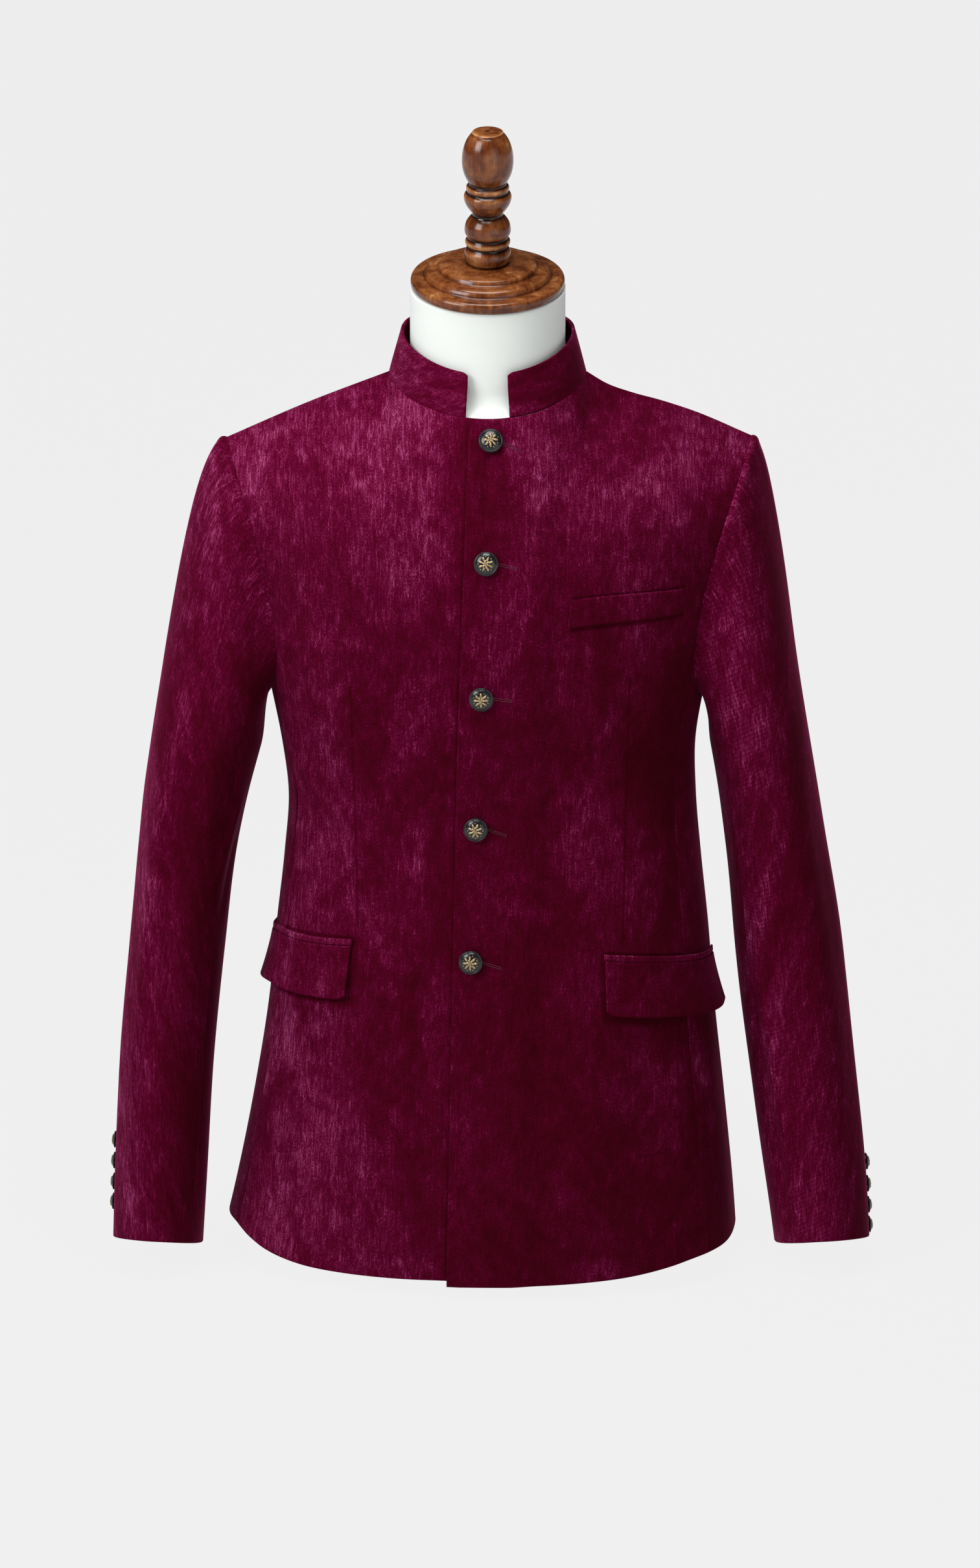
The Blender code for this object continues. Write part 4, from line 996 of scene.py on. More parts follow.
def sewn_on(name, side, phi, z, thickness, stand, velvet):
    """Make a pocket piece over a front at angles and heights, with the grain of the cloth under it."""
    phi = np.broadcast_to(phi, z.shape)
    level = level_at(phi, z)
    points, normals = raised(side * phi, level, side, ON_PANEL + thickness + stand)
    kept = side * np.minimum(phi, FLAP_GRAIN_END)
    uv = past_seam(grain_on_front(kept, level, side), points, phi, side)
    return cloth_piece(name, points, normals, uv, thickness, (velvet, velvet), SEWN_SOFTNESS)


def pocket_pieces(row, shaded_velvet, highlit_velvet):
    """Make one hip pocket's jet and its flap, which hangs from under the jet."""
    name, side, inner, inner_top, inner_drop, outer, outer_top, outer_drop = row
    down = np.linspace(0.0, 1.0, FLAP_FINE[0] + 1)[:, None]
    across = np.linspace(0.0, 1.0, FLAP_FINE[1] + 1)[None, :]
    phi = inner + (outer - inner) * across
    top = inner_top + (outer_top - inner_top) * across
    drop = inner_drop + (outer_drop - inner_drop) * across
    edge = np.minimum(across, 1 - across) * FLAP_WIDTH
    rounding = FLAP_CORNER_RISE * (1 - np.minimum(edge / FLAP_CORNER, 1.0)) ** 2
    z = top - SEAM_GAP - (drop - rounding) * down
    stand = FLAP_STAND_INNER + (FLAP_STAND_OUTER - FLAP_STAND_INNER) * across
    flap = sewn_on(f"{name}_pocket_flap", side, phi, z, FLAP_THICK, stand * down ** FLAP_CURL, shaded_velvet)
    phi = inner - JET_OVERHANG + (outer - inner + 2 * JET_OVERHANG) * across
    z = top + JET_HEIGHT * np.linspace(0.0, 1.0, JET_ROWS + 1)[:, None]
    return flap, sewn_on(f"{name}_pocket_jet", side, phi, z, JET_THICK, 0.0, highlit_velvet)


# How far a turning stands out from its surroundings where its edges are fully worn, and sinks where its
# grooves take full painted shade
WEAR_AND_SHADE_DEPTH = 0.0009
WEAR_AND_SHADE_STEPS = 400
WEAR_AND_SHADE_REACH = 0.02


def standing(point):
    """Return the placement of a piece that stands on a point of the coat's own frame."""
    return Matrix.Translation(Vector(np.asarray(point) + SHIFT))


def seat_matrix(point, normal):
    """Return the placement that stands a turned piece on a point of the coat, along a normal."""
    return standing(point) @ Vector(normal).to_track_quat("Z", "Y").to_matrix().to_4x4()


def profile_wear_and_shade(profile):
    """Return how far each row of a profile stands out, 1, or lies in a groove, -1, for worn edges and painted
    shade in grooves.
    """
    rows = np.array(profile)
    size = np.abs(rows).max()
    along = np.concatenate(((0.0,), np.cumsum(np.linalg.norm(np.diff(rows, axis=0), axis=1))))
    even = np.linspace(0.0, along[-1], WEAR_AND_SHADE_STEPS)
    radius = np.interp(even, along, rows[:, 0])
    reach = max(3, int(WEAR_AND_SHADE_REACH * WEAR_AND_SHADE_STEPS * min(1.0, size / along[-1] * 2)))
    kernel = np.ones(2 * reach + 1) / (2 * reach + 1)
    mean = np.convolve(np.pad(radius, reach, mode="edge"), kernel, mode="valid")
    return np.clip(np.interp(along, even, radius - mean) / WEAR_AND_SHADE_DEPTH, -1.0, 1.0)


def turned(name, profile, steps, matrix, finish):
    """Make a smooth solid of revolution from rows of radius and height; only the last radius may be 0."""
    points = []
    rings = []
    marks = []
    # Each ring's texture coordinates carry how worn its edge is and how deep its groove lies in painted shade
    for (radius, height), wear_and_shade in zip(profile, profile_wear_and_shade(profile)):
        count = steps if radius > 0.0 else 1
        rings.append(range(len(points), len(points) + count))
        marks.extend([(wear_and_shade, height)] * count)
        for k in range(count):
            angle = 2 * math.pi * k / steps
            points.append(matrix @ Vector((radius * math.cos(angle), radius * math.sin(angle), height)))
    faces = [tuple(rings[0][::-1])]
    for low, high in zip(rings, rings[1:]):
        if len(high) == 1:
            faces.extend(face[:2] + (high[0],) for face in band(low, low))
        else:
            faces.extend(band(low, high))
    if len(rings[-1]) > 1:
        faces.append(tuple(rings[-1]))
    return add_object(name, [tuple(point) for point in points], faces, (finish,), None, marks)


def smooth_profile(rows, count):
    """Return a finer profile through rows of radius and height, by a centripetal curve."""
    rows = np.array(rows, dtype=float)
    steps = np.maximum(np.linalg.norm(np.diff(rows, axis=0), axis=1) ** 0.5, 1e-6)
    knots = np.concatenate(((0.0,), np.cumsum(steps)))
    slopes = np.gradient(rows, knots, axis=0)
    out = []
    for i in range(len(rows) - 1):
        span = knots[i + 1] - knots[i]
        for k in range(count):
            out.append(curve(k / count, span, rows[i], slopes[i], rows[i + 1], slopes[i + 1]))
    out.append(rows[-1])
    out = np.array(out)
    out[:, 0] = np.maximum(out[:, 0], 0.0)
    out[-1, 0] = rows[-1, 0]
    return [tuple(point) for point in out]


# Buttons: radius and height of each turn of the profile, for a button of radius 1
BUTTON_PROFILE = (
    (0.30, 0.00), (0.30, 0.12), (0.80, 0.13), (0.93, 0.17), (0.955, 0.235), (0.93, 0.30),
    (0.875, 0.335), (0.850, 0.325), (0.825, 0.345), (0.72, 0.425), (0.55, 0.495), (0.35, 0.540),
    (0.15, 0.562), (0.00, 0.568),
)
BUTTON_FINE = 3
BUTTON_SIDES = 40
BEAD_RING = 0.925
BEAD_HEIGHT = 0.262
BEAD_SIZE = (0.066, 0.0607, 0.0825)
BEADS = 44

# Rosette: its rings of leaves, by count, radius of the ring, half length, half width and turn
LEAVES = ((8, 0.43, 0.190, 0.090, 0.0), (6, 0.21, 0.140, 0.085, 0.3))
LEAF_HIGH = 0.050
LEAF_THICK = 0.035
LEAF_DIP = 0.25

# Its beads: count, radius of the ring, height over the dome, turn, half width, half height and steps
ROSETTE_BEADS = (
    (8, 0.60, 0.020, math.pi / 8, 0.050, 0.045, (5, 8)),
    (6, 0.075, 0.075, 0.0, 0.040, 0.040, (5, 8)),
    (1, 0.0, 0.095, 0.0, 0.050, 0.045, (6, 10)),
)
FRONT_BUTTON_RADIUS = 0.0105
FRONT_BUTTON_TURN = 0.4
FRONT_BUTTON_HEIGHTS = (0.7358, 0.6387, 0.5260, 0.4117, 0.2968)
CUFF_BUTTON_RADIUS = 0.0074
CUFF_BUTTON_TURN = 350.0
CUFF_BUTTON_HEIGHTS = {-1.0: (0.105, 0.087, 0.069, 0.052), 1.0: (0.086, 0.067, 0.049, 0.032)}
BUTTON_SEAT = 0.0006
CUFF_BUTTON_SEAT = 0.0001

# Buttonholes: where they start and end beyond the line of buttons, and how far each one droops
BUTTONHOLE_START = 0.0080
BUTTONHOLE_END = 0.0250
BUTTONHOLE_HALF = 0.0009
BUTTONHOLE_DROOPS = (-0.0085, -0.0040, -0.0022, -0.0055, -0.0050)
THREAD_RADIUS = 0.00021
THREAD_SIDES = 8
THREAD_SHOWS = 0.4
BUTTONHOLE_STEPS = 48
BUTTONHOLE_BLUNT = 1.25
BUTTONHOLE_EYE = 0.7
BUTTONHOLE_EYE_START = 0.85


def blob(centre, axes, size, rows=7, columns=12):
    """Return the points and faces of a small rounded lump with its own three axes."""
    lift = math.pi * np.arange(rows + 1)[:, None] / rows
    angle = 2 * math.pi * np.arange(columns) / columns
    level = np.cos(lift) + 0.0 * angle
    local = np.stack((np.sin(lift) * np.cos(angle), np.sin(lift) * np.sin(angle), level), axis=-1)
    points = centre + (local.reshape(-1, 3) * size) @ axes
    faces = []
    for low in range(0, rows * columns, columns):
        faces.extend(band(range(low + columns, low + 2 * columns), range(low, low + columns)))
    return points, faces


def join_lumps(name, lumps, matrix, scale, finish):
    """Make one object of several lumps, in a button's own frame."""
    points = []
    faces = []
    for lump_points, lump_faces in lumps:
        start = len(points)
        points.extend(tuple(matrix @ Vector(point * scale)) for point in lump_points)
        faces.extend(tuple(start + corner for corner in face) for face in lump_faces)
    return add_object(name, points, faces, (finish,))


def dome_height(radius):
    """Return the height of the button's dome at a radius, both for a button of radius 1."""
    rows = np.array(BUTTON_PROFILE[8:])
    return float(np.interp(radius, rows[::-1, 0], rows[::-1, 1]))


def round_spots(count, ring, height, phase=0.0, dip=0.0):
    """Yield the centres of lumps round a button, each with its axes outwards, sideways and up."""
    for k in range(count):
        angle = 2 * math.pi * k / count + phase
        out = unit(np.array((math.cos(angle), math.sin(angle), -dip)))
        side = np.array((-math.sin(angle), math.cos(angle), 0.0))
        centre = np.array((ring * math.cos(angle), ring * math.sin(angle), height))
        yield centre, np.array((out, side, np.cross(out, side)))


def rosette_lumps():
    """Return a plain leaf rosette: two rings of leaves, tips of small beads and a beaded heart."""
    lumps = []
    for count, ring, long, wide, phase in LEAVES:
        for centre, axes in round_spots(count, ring, dome_height(ring) + LEAF_THICK, phase, LEAF_DIP):
            lumps.append(blob(centre, axes, (long, wide, LEAF_HIGH)))
            vein = (long * 0.8, wide * 0.25, LEAF_THICK)
            lumps.append(blob(centre + np.array((0.0, 0.0, LEAF_THICK)), axes, vein, 5, 8))
    for count, ring, lift, phase, wide, high, steps in ROSETTE_BEADS:
        for centre, _ in round_spots(count, ring, dome_height(ring) + lift, phase):
            lumps.append(blob(centre, np.eye(3), (wide, wide, high), *steps))
    return lumps


def bead_lumps():
    """Return the fine beads round a button's rim."""
    spots = round_spots(BEADS, BEAD_RING, BEAD_HEIGHT)
    return [blob(centre, axes, BEAD_SIZE, 5, 7) for centre, axes in spots]


def make_button(node, radius, matrix, black, gilt):
    """Make one button: a black dome with a beaded rim and a gilt leaf rosette."""
    profile = [(r * radius, h * radius) for r, h in smooth_profile(BUTTON_PROFILE, BUTTON_FINE)]
    declare(turned(f"{node}_dome", profile, BUTTON_SIDES, matrix, black), node)
    declare(join_lumps(f"{node}_beads", bead_lumps(), matrix, radius, black))
    declare(join_lumps(f"{node}_rosette", rosette_lumps(), matrix, radius, gilt))


def make_buttons(black, gilt):
    """Make the five front buttons and the four on each cuff."""
    for k, z in enumerate(FRONT_BUTTON_HEIGHTS):
        phi, level = place(front_line(z), z)
        point, normal = skin(phi, level)
        lift = LAP_LIFT + BUTTON_SEAT
        matrix = seat_matrix(point + normal * lift, normal) @ Matrix.Rotation(FRONT_BUTTON_TURN * k, 4, "Z")
        make_button(f"front_button_{k + 1}", FRONT_BUTTON_RADIUS, matrix, black, gilt)
    for side, heights in CUFF_BUTTON_HEIGHTS.items():
        for k, z in enumerate(heights):
            point = sleeve_points(side, CUFF_BUTTON_TURN, z)
            across = sleeve_points(side, CUFF_BUTTON_TURN + 1.0, z) - point
            along = sleeve_points(side, CUFF_BUTTON_TURN, z + 0.002) - point
            normal = unit(np.cross(across, along))
            normal *= side * math.copysign(1.0, normal[0])
            matrix = seat_matrix(point + normal * CUFF_BUTTON_SEAT, normal)
            make_button(f"{side_name(side)}_cuff_button_{k + 1}", CUFF_BUTTON_RADIUS, matrix, black, gilt)


# Dress form
FORM_BOTTOM_Z = 0.140
FORM_CLEAR = 0.0060
FORM_SEAT = 0.0005
HIP_TUCK = 0.10
HIP_TUCK_Z = 0.35
NECK_RADIUS = 0.0652
NECK_DEPTH = 0.0610
NECK_MIDDLE_Y = -0.007
NECK_TOP_Z = 0.8522
NECK_TILT = math.radians(13.0)
SEAT_FADE = 0.35
SHOULDER_SHARE = 0.995
ARMPLATE_LOW_Z = 0.45
ARMPLATE_HIGH_Z = 0.53
FORM_FINE_ROWS = 40
FORM_LAST_LEVEL = 1.96
NECK_FINE_ROWS = 21
FORM_COLUMNS = (40, 30, 24, 30, 40)

# The neck's lower curve: place along it, blend to the round neck, and rise above the neckline
NECK_CURVE = (
    (0.0, 0.00, 0.000), (1.0, 0.50, 0.004), (2.0, 0.85, 0.009), (3.0, 1.00, 0.017),
    (4.0, 1.00, 0.027),
)
POST_RADIUS = 0.016
BASE_RADIUS = 0.106
BASE_THICK = 0.014
BASE_FOOT_BEVEL = 0.001
BASE_TOP_BEVEL = 0.004

# Turned pieces: radius and height of each turn, in millimetres
CAP_PROFILE = (
    (60.0, 0.0), (63.6, 0.8), (64.6, 3.0), (64.6, 6.2), (63.2, 8.6), (60.5, 9.4), (53.6, 9.8),
    (52.6, 12.0), (50.6, 14.6), (46.0, 15.8), (42.2, 16.6), (40.8, 19.0), (39.4, 20.2), (0.0, 20.2),
)
FINIAL_PROFILE = (
    (14.5, 0.0), (18.0, 2.6), (19.4, 6.8), (19.0, 11.5), (16.9, 15.2), (16.7, 16.4), (18.6, 18.0),
    (18.9, 20.4), (17.5, 22.6), (17.0, 23.8), (17.4, 25.0), (19.1, 27.6), (19.3, 32.0),
    (18.2, 36.5), (15.6, 40.6), (13.0, 43.6), (12.9, 45.2), (15.0, 48.2), (18.2, 53.0),
    (19.8, 57.6), (19.9, 60.4), (19.0, 62.6), (17.2, 64.4), (17.9, 66.4), (17.7, 69.0),
    (15.8, 70.8), (15.7, 72.0), (17.4, 75.2), (19.6, 80.0), (21.1, 86.0), (21.5, 92.0),
    (21.1, 98.0), (19.8, 104.0), (17.6, 109.5), (14.8, 113.8), (13.2, 115.6), (12.6, 116.9),
    (0.0, 117.6),
)
MILLIMETRE = 0.001
CAP_TOP = 0.0202


def cap_matrix(height):
    """Return the placement of a piece at a height along the neck cap's leaning axis."""
    foot = standing((0.0, NECK_MIDDLE_Y, NECK_TOP_Z))
    return foot @ Matrix.Rotation(NECK_TILT, 4, "X") @ Matrix.Translation(Vector((0.0, 0.0, height)))


def make_stand(wood):
    """Make the neck cap, the finial, and the post and plate."""
    cap = [(r * MILLIMETRE, h * MILLIMETRE) for r, h in CAP_PROFILE]
    finial = [(r * MILLIMETRE, h * MILLIMETRE) for r, h in smooth_profile(FINIAL_PROFILE, 5)]
    upright = standing((0.0, BASE_Y, 0.0))
    plate = (
        (BASE_RADIUS - BASE_FOOT_BEVEL, 0.0),
        (BASE_RADIUS, BASE_FOOT_BEVEL),
        (BASE_RADIUS, BASE_THICK - BASE_TOP_BEVEL),
        (BASE_RADIUS - BASE_TOP_BEVEL / 4, BASE_THICK - BASE_TOP_BEVEL / 4),
        (BASE_RADIUS - BASE_TOP_BEVEL, BASE_THICK),
        (0.0, BASE_THICK),
    )
    post = ((POST_RADIUS, BASE_THICK + SEAM_GAP), (POST_RADIUS, FORM_BOTTOM_Z - SEAM_GAP))
    for node, profile, steps, matrix in (
        ("neck_cap", smooth_profile(cap, 4), 96, cap_matrix(SEAM_GAP)),
        ("finial", finial, 72, cap_matrix(CAP_TOP + 2 * SEAM_GAP)),
        ("base_plate", plate, 96, upright),
        ("post", post, 48, upright),
    ):
        declare(turned(f"{node}_turning", profile, steps, matrix, wood), node)


# Wood: its colours, linear, from the painted shade of its grooves to its worn edges, and how its tone is made
# up, with painted light where it faces up
WOOD_COLOURS = (
    (0.05, (0.008, 0.0018, 0.0007)),
    (0.30, (0.034, 0.0072, 0.0020)),
    (0.52, (0.104, 0.0250, 0.0056)),
    (0.75, (0.215, 0.0700, 0.0190)),
    (1.00, (0.450, 0.2200, 0.0850)),
)
WOOD_TONE = 0.50
WEAR_AND_SHADE_WEIGHT = 0.72
WEAR_AND_SHADE_RAGGED = 0.7
# Painted light: how much lighter the wood is where it faces up
UPWARD_PAINTED_LIGHT = 0.12

# Floor and surroundings
FLOOR_ALBEDO = 0.02
FLOOR_GLOW = 0.850
FLOOR_HALF = 30.0
WORLD_STRENGTH = 0.04

# Lights: name, place, side and power
LIGHTS = (
    ("key", (-2.1, -1.8, 2.1), 1.5, 70.0),
    ("top", (-0.1, -0.5, 2.4), 1.1, 34.0),
    ("fill", (1.6, -2.6, 0.9), 2.0, 11.0),
)
LIGHTS_AIM = (0.0, 0.0, 0.5)

# Velvet: its middle tone, the painted light added where it faces up and towards +X, which is below 0 so that
# the side facing -X is painted lighter, and the limits of facing up
VELVET_TONE = 0.33
PAINTED_LIGHT_ABOVE = 0.27
PAINTED_LIGHT_SIDEWAYS = -0.13
LOWEST_FACING_UP = -0.25
HIGHEST_FACING_UP = 0.45

# Its streak, ruck, broad, patch and speck noises: scales along the cloth, detail, roughness, distortion
VELVET_NOISES = (
    ((430.0, 75.0, 1.0), 3.0, 0.60, 0.1),
    ((300.0, 30.0, 1.0), 2.0, 0.5, 0.3),
    ((95.0, 60.0, 1.0), 5.0, 0.72, 0.4),
    ((14.0, 8.0, 1.0), 3.0, 0.55, 0.8),
    ((820.0, 560.0, 1.0), 2.0, 0.6),
)
STREAK_WEIGHT = 0.48
RUCK_WEIGHT = 0.72
BROAD_WEIGHT = 0.70
PATCH_WEIGHT = 0.80
SPECK_WEIGHT = 0.95
TWILL_WEIGHT = 0.14
TWILL_ACROSS = 2900.0
TWILL_ALONG = 1750.0
RUCK_SHARPNESS = 20.0

# Rucks and twill show by how far the tone is over the first of these, and never less than the second
LIT_FROM = 0.16
LIT_LEAST = 0.04

# How fast a brushed place with painted light and shade fades, and how much deeper in relief than darker in
# colour a dart or a painted shadow line is
BRUSHED_AND_PAINTED_FALL = 1.5
LINE_DEPTH = 4.0
VELVET_COLOURS = (
    (0.00, (0.036, 0.0001, 0.0035)),
    (0.30, (0.058, 0.0002, 0.0085)),
    (0.50, (0.088, 0.0008, 0.0200)),
    (0.72, (0.150, 0.0105, 0.0520)),
    (1.00, (0.270, 0.0480, 0.1300)),
)

# Lines darkened and dented into the fronts, a dart's seam, and painted shadows along the pockets' edges and
# beside the upper front's edge: x and z of both ends, half width, depth
LEFT_DART_AND_PAINTED_SHADOW_LINES = (
    (0.1155, 0.5370, 0.1105, 0.3120, 0.0015, 0.22),
    (0.0664, 0.5835, 0.1591, 0.5875, 0.0030, 0.34),
    (0.0690, 0.6102, 0.1614, 0.6114, 0.0022, 0.24),
    (0.0962, 0.2468, 0.1639, 0.2371, 0.0070, 0.40),
    (0.0951, 0.3026, 0.1609, 0.2918, 0.0022, 0.30),
    (0.0935, 0.3000, 0.0950, 0.2500, 0.0030, 0.20),
)
RIGHT_DART_AND_PAINTED_SHADOW_LINES = (
    (-0.1180, 0.5300, -0.1130, 0.3180, 0.0015, 0.22),
    (-0.1806, 0.2495, -0.1214, 0.2523, 0.0070, 0.36),
    (-0.1756, 0.3024, -0.1170, 0.3083, 0.0022, 0.30),
    (-0.0195, 0.7520, -0.0287, 0.5000, 0.0028, 0.16),
    (-0.0287, 0.5000, -0.0387, 0.0200, 0.0028, 0.14),
    (-0.1150, 0.3060, -0.1195, 0.2550, 0.0035, 0.26),
)

# Brushed places of the fronts, partly painted light and shade: x, z, half width, half height, and how much
# lighter the brushed nap and the painted light make it there, darker below 0
BRUSHED_AND_PAINTED_SPOTS = (
    (0.005, 0.240, 0.110, 0.190, -0.120),
    (0.125, 0.600, 0.060, 0.070, 0.080),
    (0.050, 0.540, 0.040, 0.120, 0.040),
    (-0.160, 0.420, 0.024, 0.090, 0.080),
    (-0.165, 0.190, 0.042, 0.090, 0.050),
    (-0.090, 0.415, 0.045, 0.100, -0.060),
    (-0.085, 0.590, 0.060, 0.060, 0.050),
    (0.158, 0.500, 0.025, 0.100, -0.060),
    (0.000, 0.060, 0.200, 0.045, -0.050),
    (-0.010, 0.690, 0.060, 0.060, -0.050),
    (-0.160, 0.735, 0.070, 0.030, -0.080),
    (0.120, 0.700, 0.080, 0.045, 0.070),
    (0.150, 0.200, 0.040, 0.080, 0.030),
)
# Painted shade on the flaps and the collar, and a painted highlight on the jets: darker and lighter copies of
# the velvet
FLAP_PAINTED_SHADE = -0.050
JET_PAINTED_HIGHLIGHT = 0.080


class Nodes:
    """Small helper that lays out a material's nodes."""

    def __init__(self, name):
        self.material = bpy.data.materials.new(name)
        self.material.use_nodes = True
        self.tree = self.material.node_tree
        self.shader = self.tree.nodes["Principled BSDF"]

    def put(self, socket, value):
        """Link a socket to another one, or set it to a number or a colour."""
        if isinstance(value, bpy.types.NodeSocket):
            self.tree.links.new(value, socket)
        else:
            socket.default_value = value

    def add(self, kind, output, **inputs):
        """Add a node, fill its inputs, and return one of its outputs."""
        node = self.tree.nodes.new(f"ShaderNode{kind}")
        for key, value in inputs.items():
            self.put(node.inputs[key], value)
        return node.outputs[output]

    def math(self, operation, *values):
        """Add a math node on sockets or numbers, and return its result."""
        node = self.tree.nodes.new("ShaderNodeMath")
        node.operation = operation
        for socket, value in zip(node.inputs, values):
            self.put(socket, value)
        return node.outputs[0]

    def weigh(self, source, weight, base, middle=0.0):
        """Return a base plus a weight times how far a source is over its middle."""
        if middle:
            source = self.math("SUBTRACT", source, middle)
        return self.math("ADD", self.math("MULTIPLY", source, weight), base)

    def place(self):
        """Return the object's own coordinates."""
        return self.add("TexCoord", "Object")

    def cloth(self):
        """Return the piece's texture coordinates."""
        node = self.tree.nodes.new("ShaderNodeUVMap")
        node.uv_map = "cloth"
        return node.outputs["UV"]

    def parts(self, vector):
        """Return a vector's three parts."""
        node = self.tree.nodes.new("ShaderNodeSeparateXYZ")
        self.put(node.inputs[0], vector)
        return node.outputs

    def noise(self, vector, scale, detail=2.0, roughness=0.5, distortion=0.0):
        """Return a noise at a scale, or at three scales along the vector's parts."""
        if isinstance(scale, tuple):
            vector = self.add("Mapping", "Vector", Vector=vector, Scale=scale)
            scale = 1.0
        settings = {"Scale": scale, "Detail": detail, "Roughness": roughness, "Distortion": distortion}
        return self.add("TexNoise", "Fac", Vector=vector, **settings)

    def set(self, **values):
        """Set or link the shader's own sockets."""
        for key, value in values.items():
            self.put(self.shader.inputs[key.replace("_", " ")], value)

    def colour(self, factor, stops):
        """Colour the surface by a ramp of a factor."""
        node = self.tree.nodes.new("ShaderNodeValToRGB")
        self.put(node.inputs["Fac"], factor)
        elements = node.color_ramp.elements
        while len(elements) < len(stops):
            elements.new(0.5)
        for element, (position, colour) in zip(elements, stops):
            element.position = position
            element.color = (*colour, 1.0)
        self.set(Base_Color=node.outputs["Color"])

    def relief(self, *layers):
        """Bump the surface by layers of height, strength and distance, each over the one before."""
        below = {}
        for height, strength, distance in layers:
            below.update(Height=height, Strength=strength, Distance=distance)
            below = {"Normal": self.add("Bump", "Normal", **below)}
        self.set(**below)


def line_mark(n, where, line):
    """Return 1 on a straight line of the cloth, seen from the front, and 0 at its half width."""
    x0, z0, x1, z1, half, _ = line
    size = math.hypot(x1 - x0, z1 - z0)
    ahead = ((x1 - x0) / size, (z1 - z0) / size)
    over = n.math("SUBTRACT", where[0], x0)
    up = n.math("SUBTRACT", where[2], z0)
    along = n.weigh(over, ahead[0], n.math("MULTIPLY", up, ahead[1]))
    beside = n.weigh(over, ahead[1], n.math("MULTIPLY", up, -ahead[0]))
    from_middle = n.math("ABSOLUTE", n.math("SUBTRACT", along, size / 2))
    past = n.math("MAXIMUM", n.math("SUBTRACT", from_middle, size / 2), 0.0)
    away = n.math("ADD", n.math("ABSOLUTE", beside), past)
    return n.math("MAXIMUM", n.math("SUBTRACT", 1.0, n.math("DIVIDE", away, half)), 0.0)


def brushed_and_painted_mark(n, where, spot):
    """Return how much lighter or darker the tone is round one brushed place, by its nap and by painted light
    and shade.
    """
    x0, z0, width, height, amount = spot
    across = n.math("DIVIDE", n.math("SUBTRACT", where[0], x0), width)
    up = n.math("DIVIDE", n.math("SUBTRACT", where[2], z0), height)
    square = n.math("ADD", n.math("MULTIPLY", across, across), n.math("MULTIPLY", up, up))
    return n.math("DIVIDE", amount, n.math("POWER", n.math("ADD", 1.0, square), BRUSHED_AND_PAINTED_FALL))


def velvet_material(name="plum_velvet", lines=(), painted_light_offset=0.0):
    """Return the coat's velvet: streaks along the grain, turned nap, specks and a fine twill, with painted
    light where it faces up and where it faces -X and a painted light offset; on the fronts also brushed spots
    with painted light and shade, and dark darts and painted shadow lines.
    """
    n = Nodes(name)
    uv = n.cloth()
    streak, wave, broad, patch, speck = (n.noise(uv, *settings) for settings in VELVET_NOISES)
    apart = n.math("ABSOLUTE", n.math("SUBTRACT", wave, 0.5))
    ruck = n.math("MAXIMUM", n.math("SUBTRACT", 1.0, n.math("MULTIPLY", apart, RUCK_SHARPNESS)), 0.0)
    across, along, _ = n.parts(uv)
    twill = n.math("SINE", n.weigh(across, TWILL_ACROSS, n.math("MULTIPLY", along, TWILL_ALONG)))
    # Painted light: the tone is lighter where the cloth faces up and where it faces -X
    facing = n.parts(n.add("NewGeometry", "Normal"))
    upward = n.math("MINIMUM", n.math("MAXIMUM", facing[2], LOWEST_FACING_UP), HIGHEST_FACING_UP)
    tone = n.weigh(facing[0], PAINTED_LIGHT_SIDEWAYS, n.weigh(upward, PAINTED_LIGHT_ABOVE, VELVET_TONE + painted_light_offset))
    for source, weight in ((broad, BROAD_WEIGHT), (patch, PATCH_WEIGHT)):
        tone = n.weigh(source, weight, tone, 0.5)
    where = n.parts(n.place())
    # Brushed nap together with painted light and shade, in spots on the fronts
    for spot in BRUSHED_AND_PAINTED_SPOTS if lines else ():
        tone = n.math("ADD", tone, brushed_and_painted_mark(n, where, spot))
    lit = n.math("MAXIMUM", n.math("SUBTRACT", tone, LIT_FROM), LIT_LEAST)
    for source, weight in ((streak, STREAK_WEIGHT), (speck, SPECK_WEIGHT)):
        tone = n.weigh(source, weight, tone, 0.5)
    for source, weight in ((ruck, RUCK_WEIGHT), (twill, TWILL_WEIGHT)):
        tone = n.weigh(n.math("MULTIPLY", source, lit), weight, tone)
    height = streak
    # Darts, and painted shadows along the pockets' edges and beside the upper front's edge, darken the tone
    # and dent the relief
    for line in lines:
        mark = line_mark(n, where, line)
        tone = n.weigh(mark, -line[5], tone)
        height = n.weigh(mark, -line[5] * LINE_DEPTH, height)
    n.colour(tone, VELVET_COLOURS)
    n.set(Roughness=0.95, Sheen_Weight=0.16, Sheen_Roughness=0.30, Sheen_Tint=(1.0, 0.10, 0.36, 1.0))
    n.set(Specular_IOR_Level=0.03)
    n.relief((speck, 0.30, 0.0005), (height, 0.22, 0.0007))
    return n.material


def speckled_material(name, noise, stops, strength, roughness, uneven=0.0, **shine):
    """Return a material coloured and bumped by one noise, which can make its roughness uneven too."""
    n = Nodes(name)
    speck = n.noise(n.place(), *noise)
    n.colour(speck, stops)
    n.set(Roughness=n.weigh(speck, uneven, roughness) if uneven else roughness, **shine)
    n.relief((speck, strength, 0.0002))
    return n.material


def thread_material():
    """Return the twisted buttonhole thread."""
    stops = ((0.35, (0.040, 0.0004, 0.009)), (0.70, (0.100, 0.0060, 0.032)))
    return speckled_material("plum_thread", (2600.0, 1.0), stops, 0.4, 0.6)


def black_material():
    """Return the buttons' glossy black."""
    stops = ((0.35, (0.004, 0.004, 0.005)), (0.80, (0.020, 0.021, 0.024)))
    shine = {"Coat_Weight": 0.2, "Coat_Roughness": 0.08, "Specular_IOR_Level": 0.35}
    return speckled_material("button_black", (900.0, 3.0, 0.6), stops, 0.10, 0.16, 0.18, **shine)


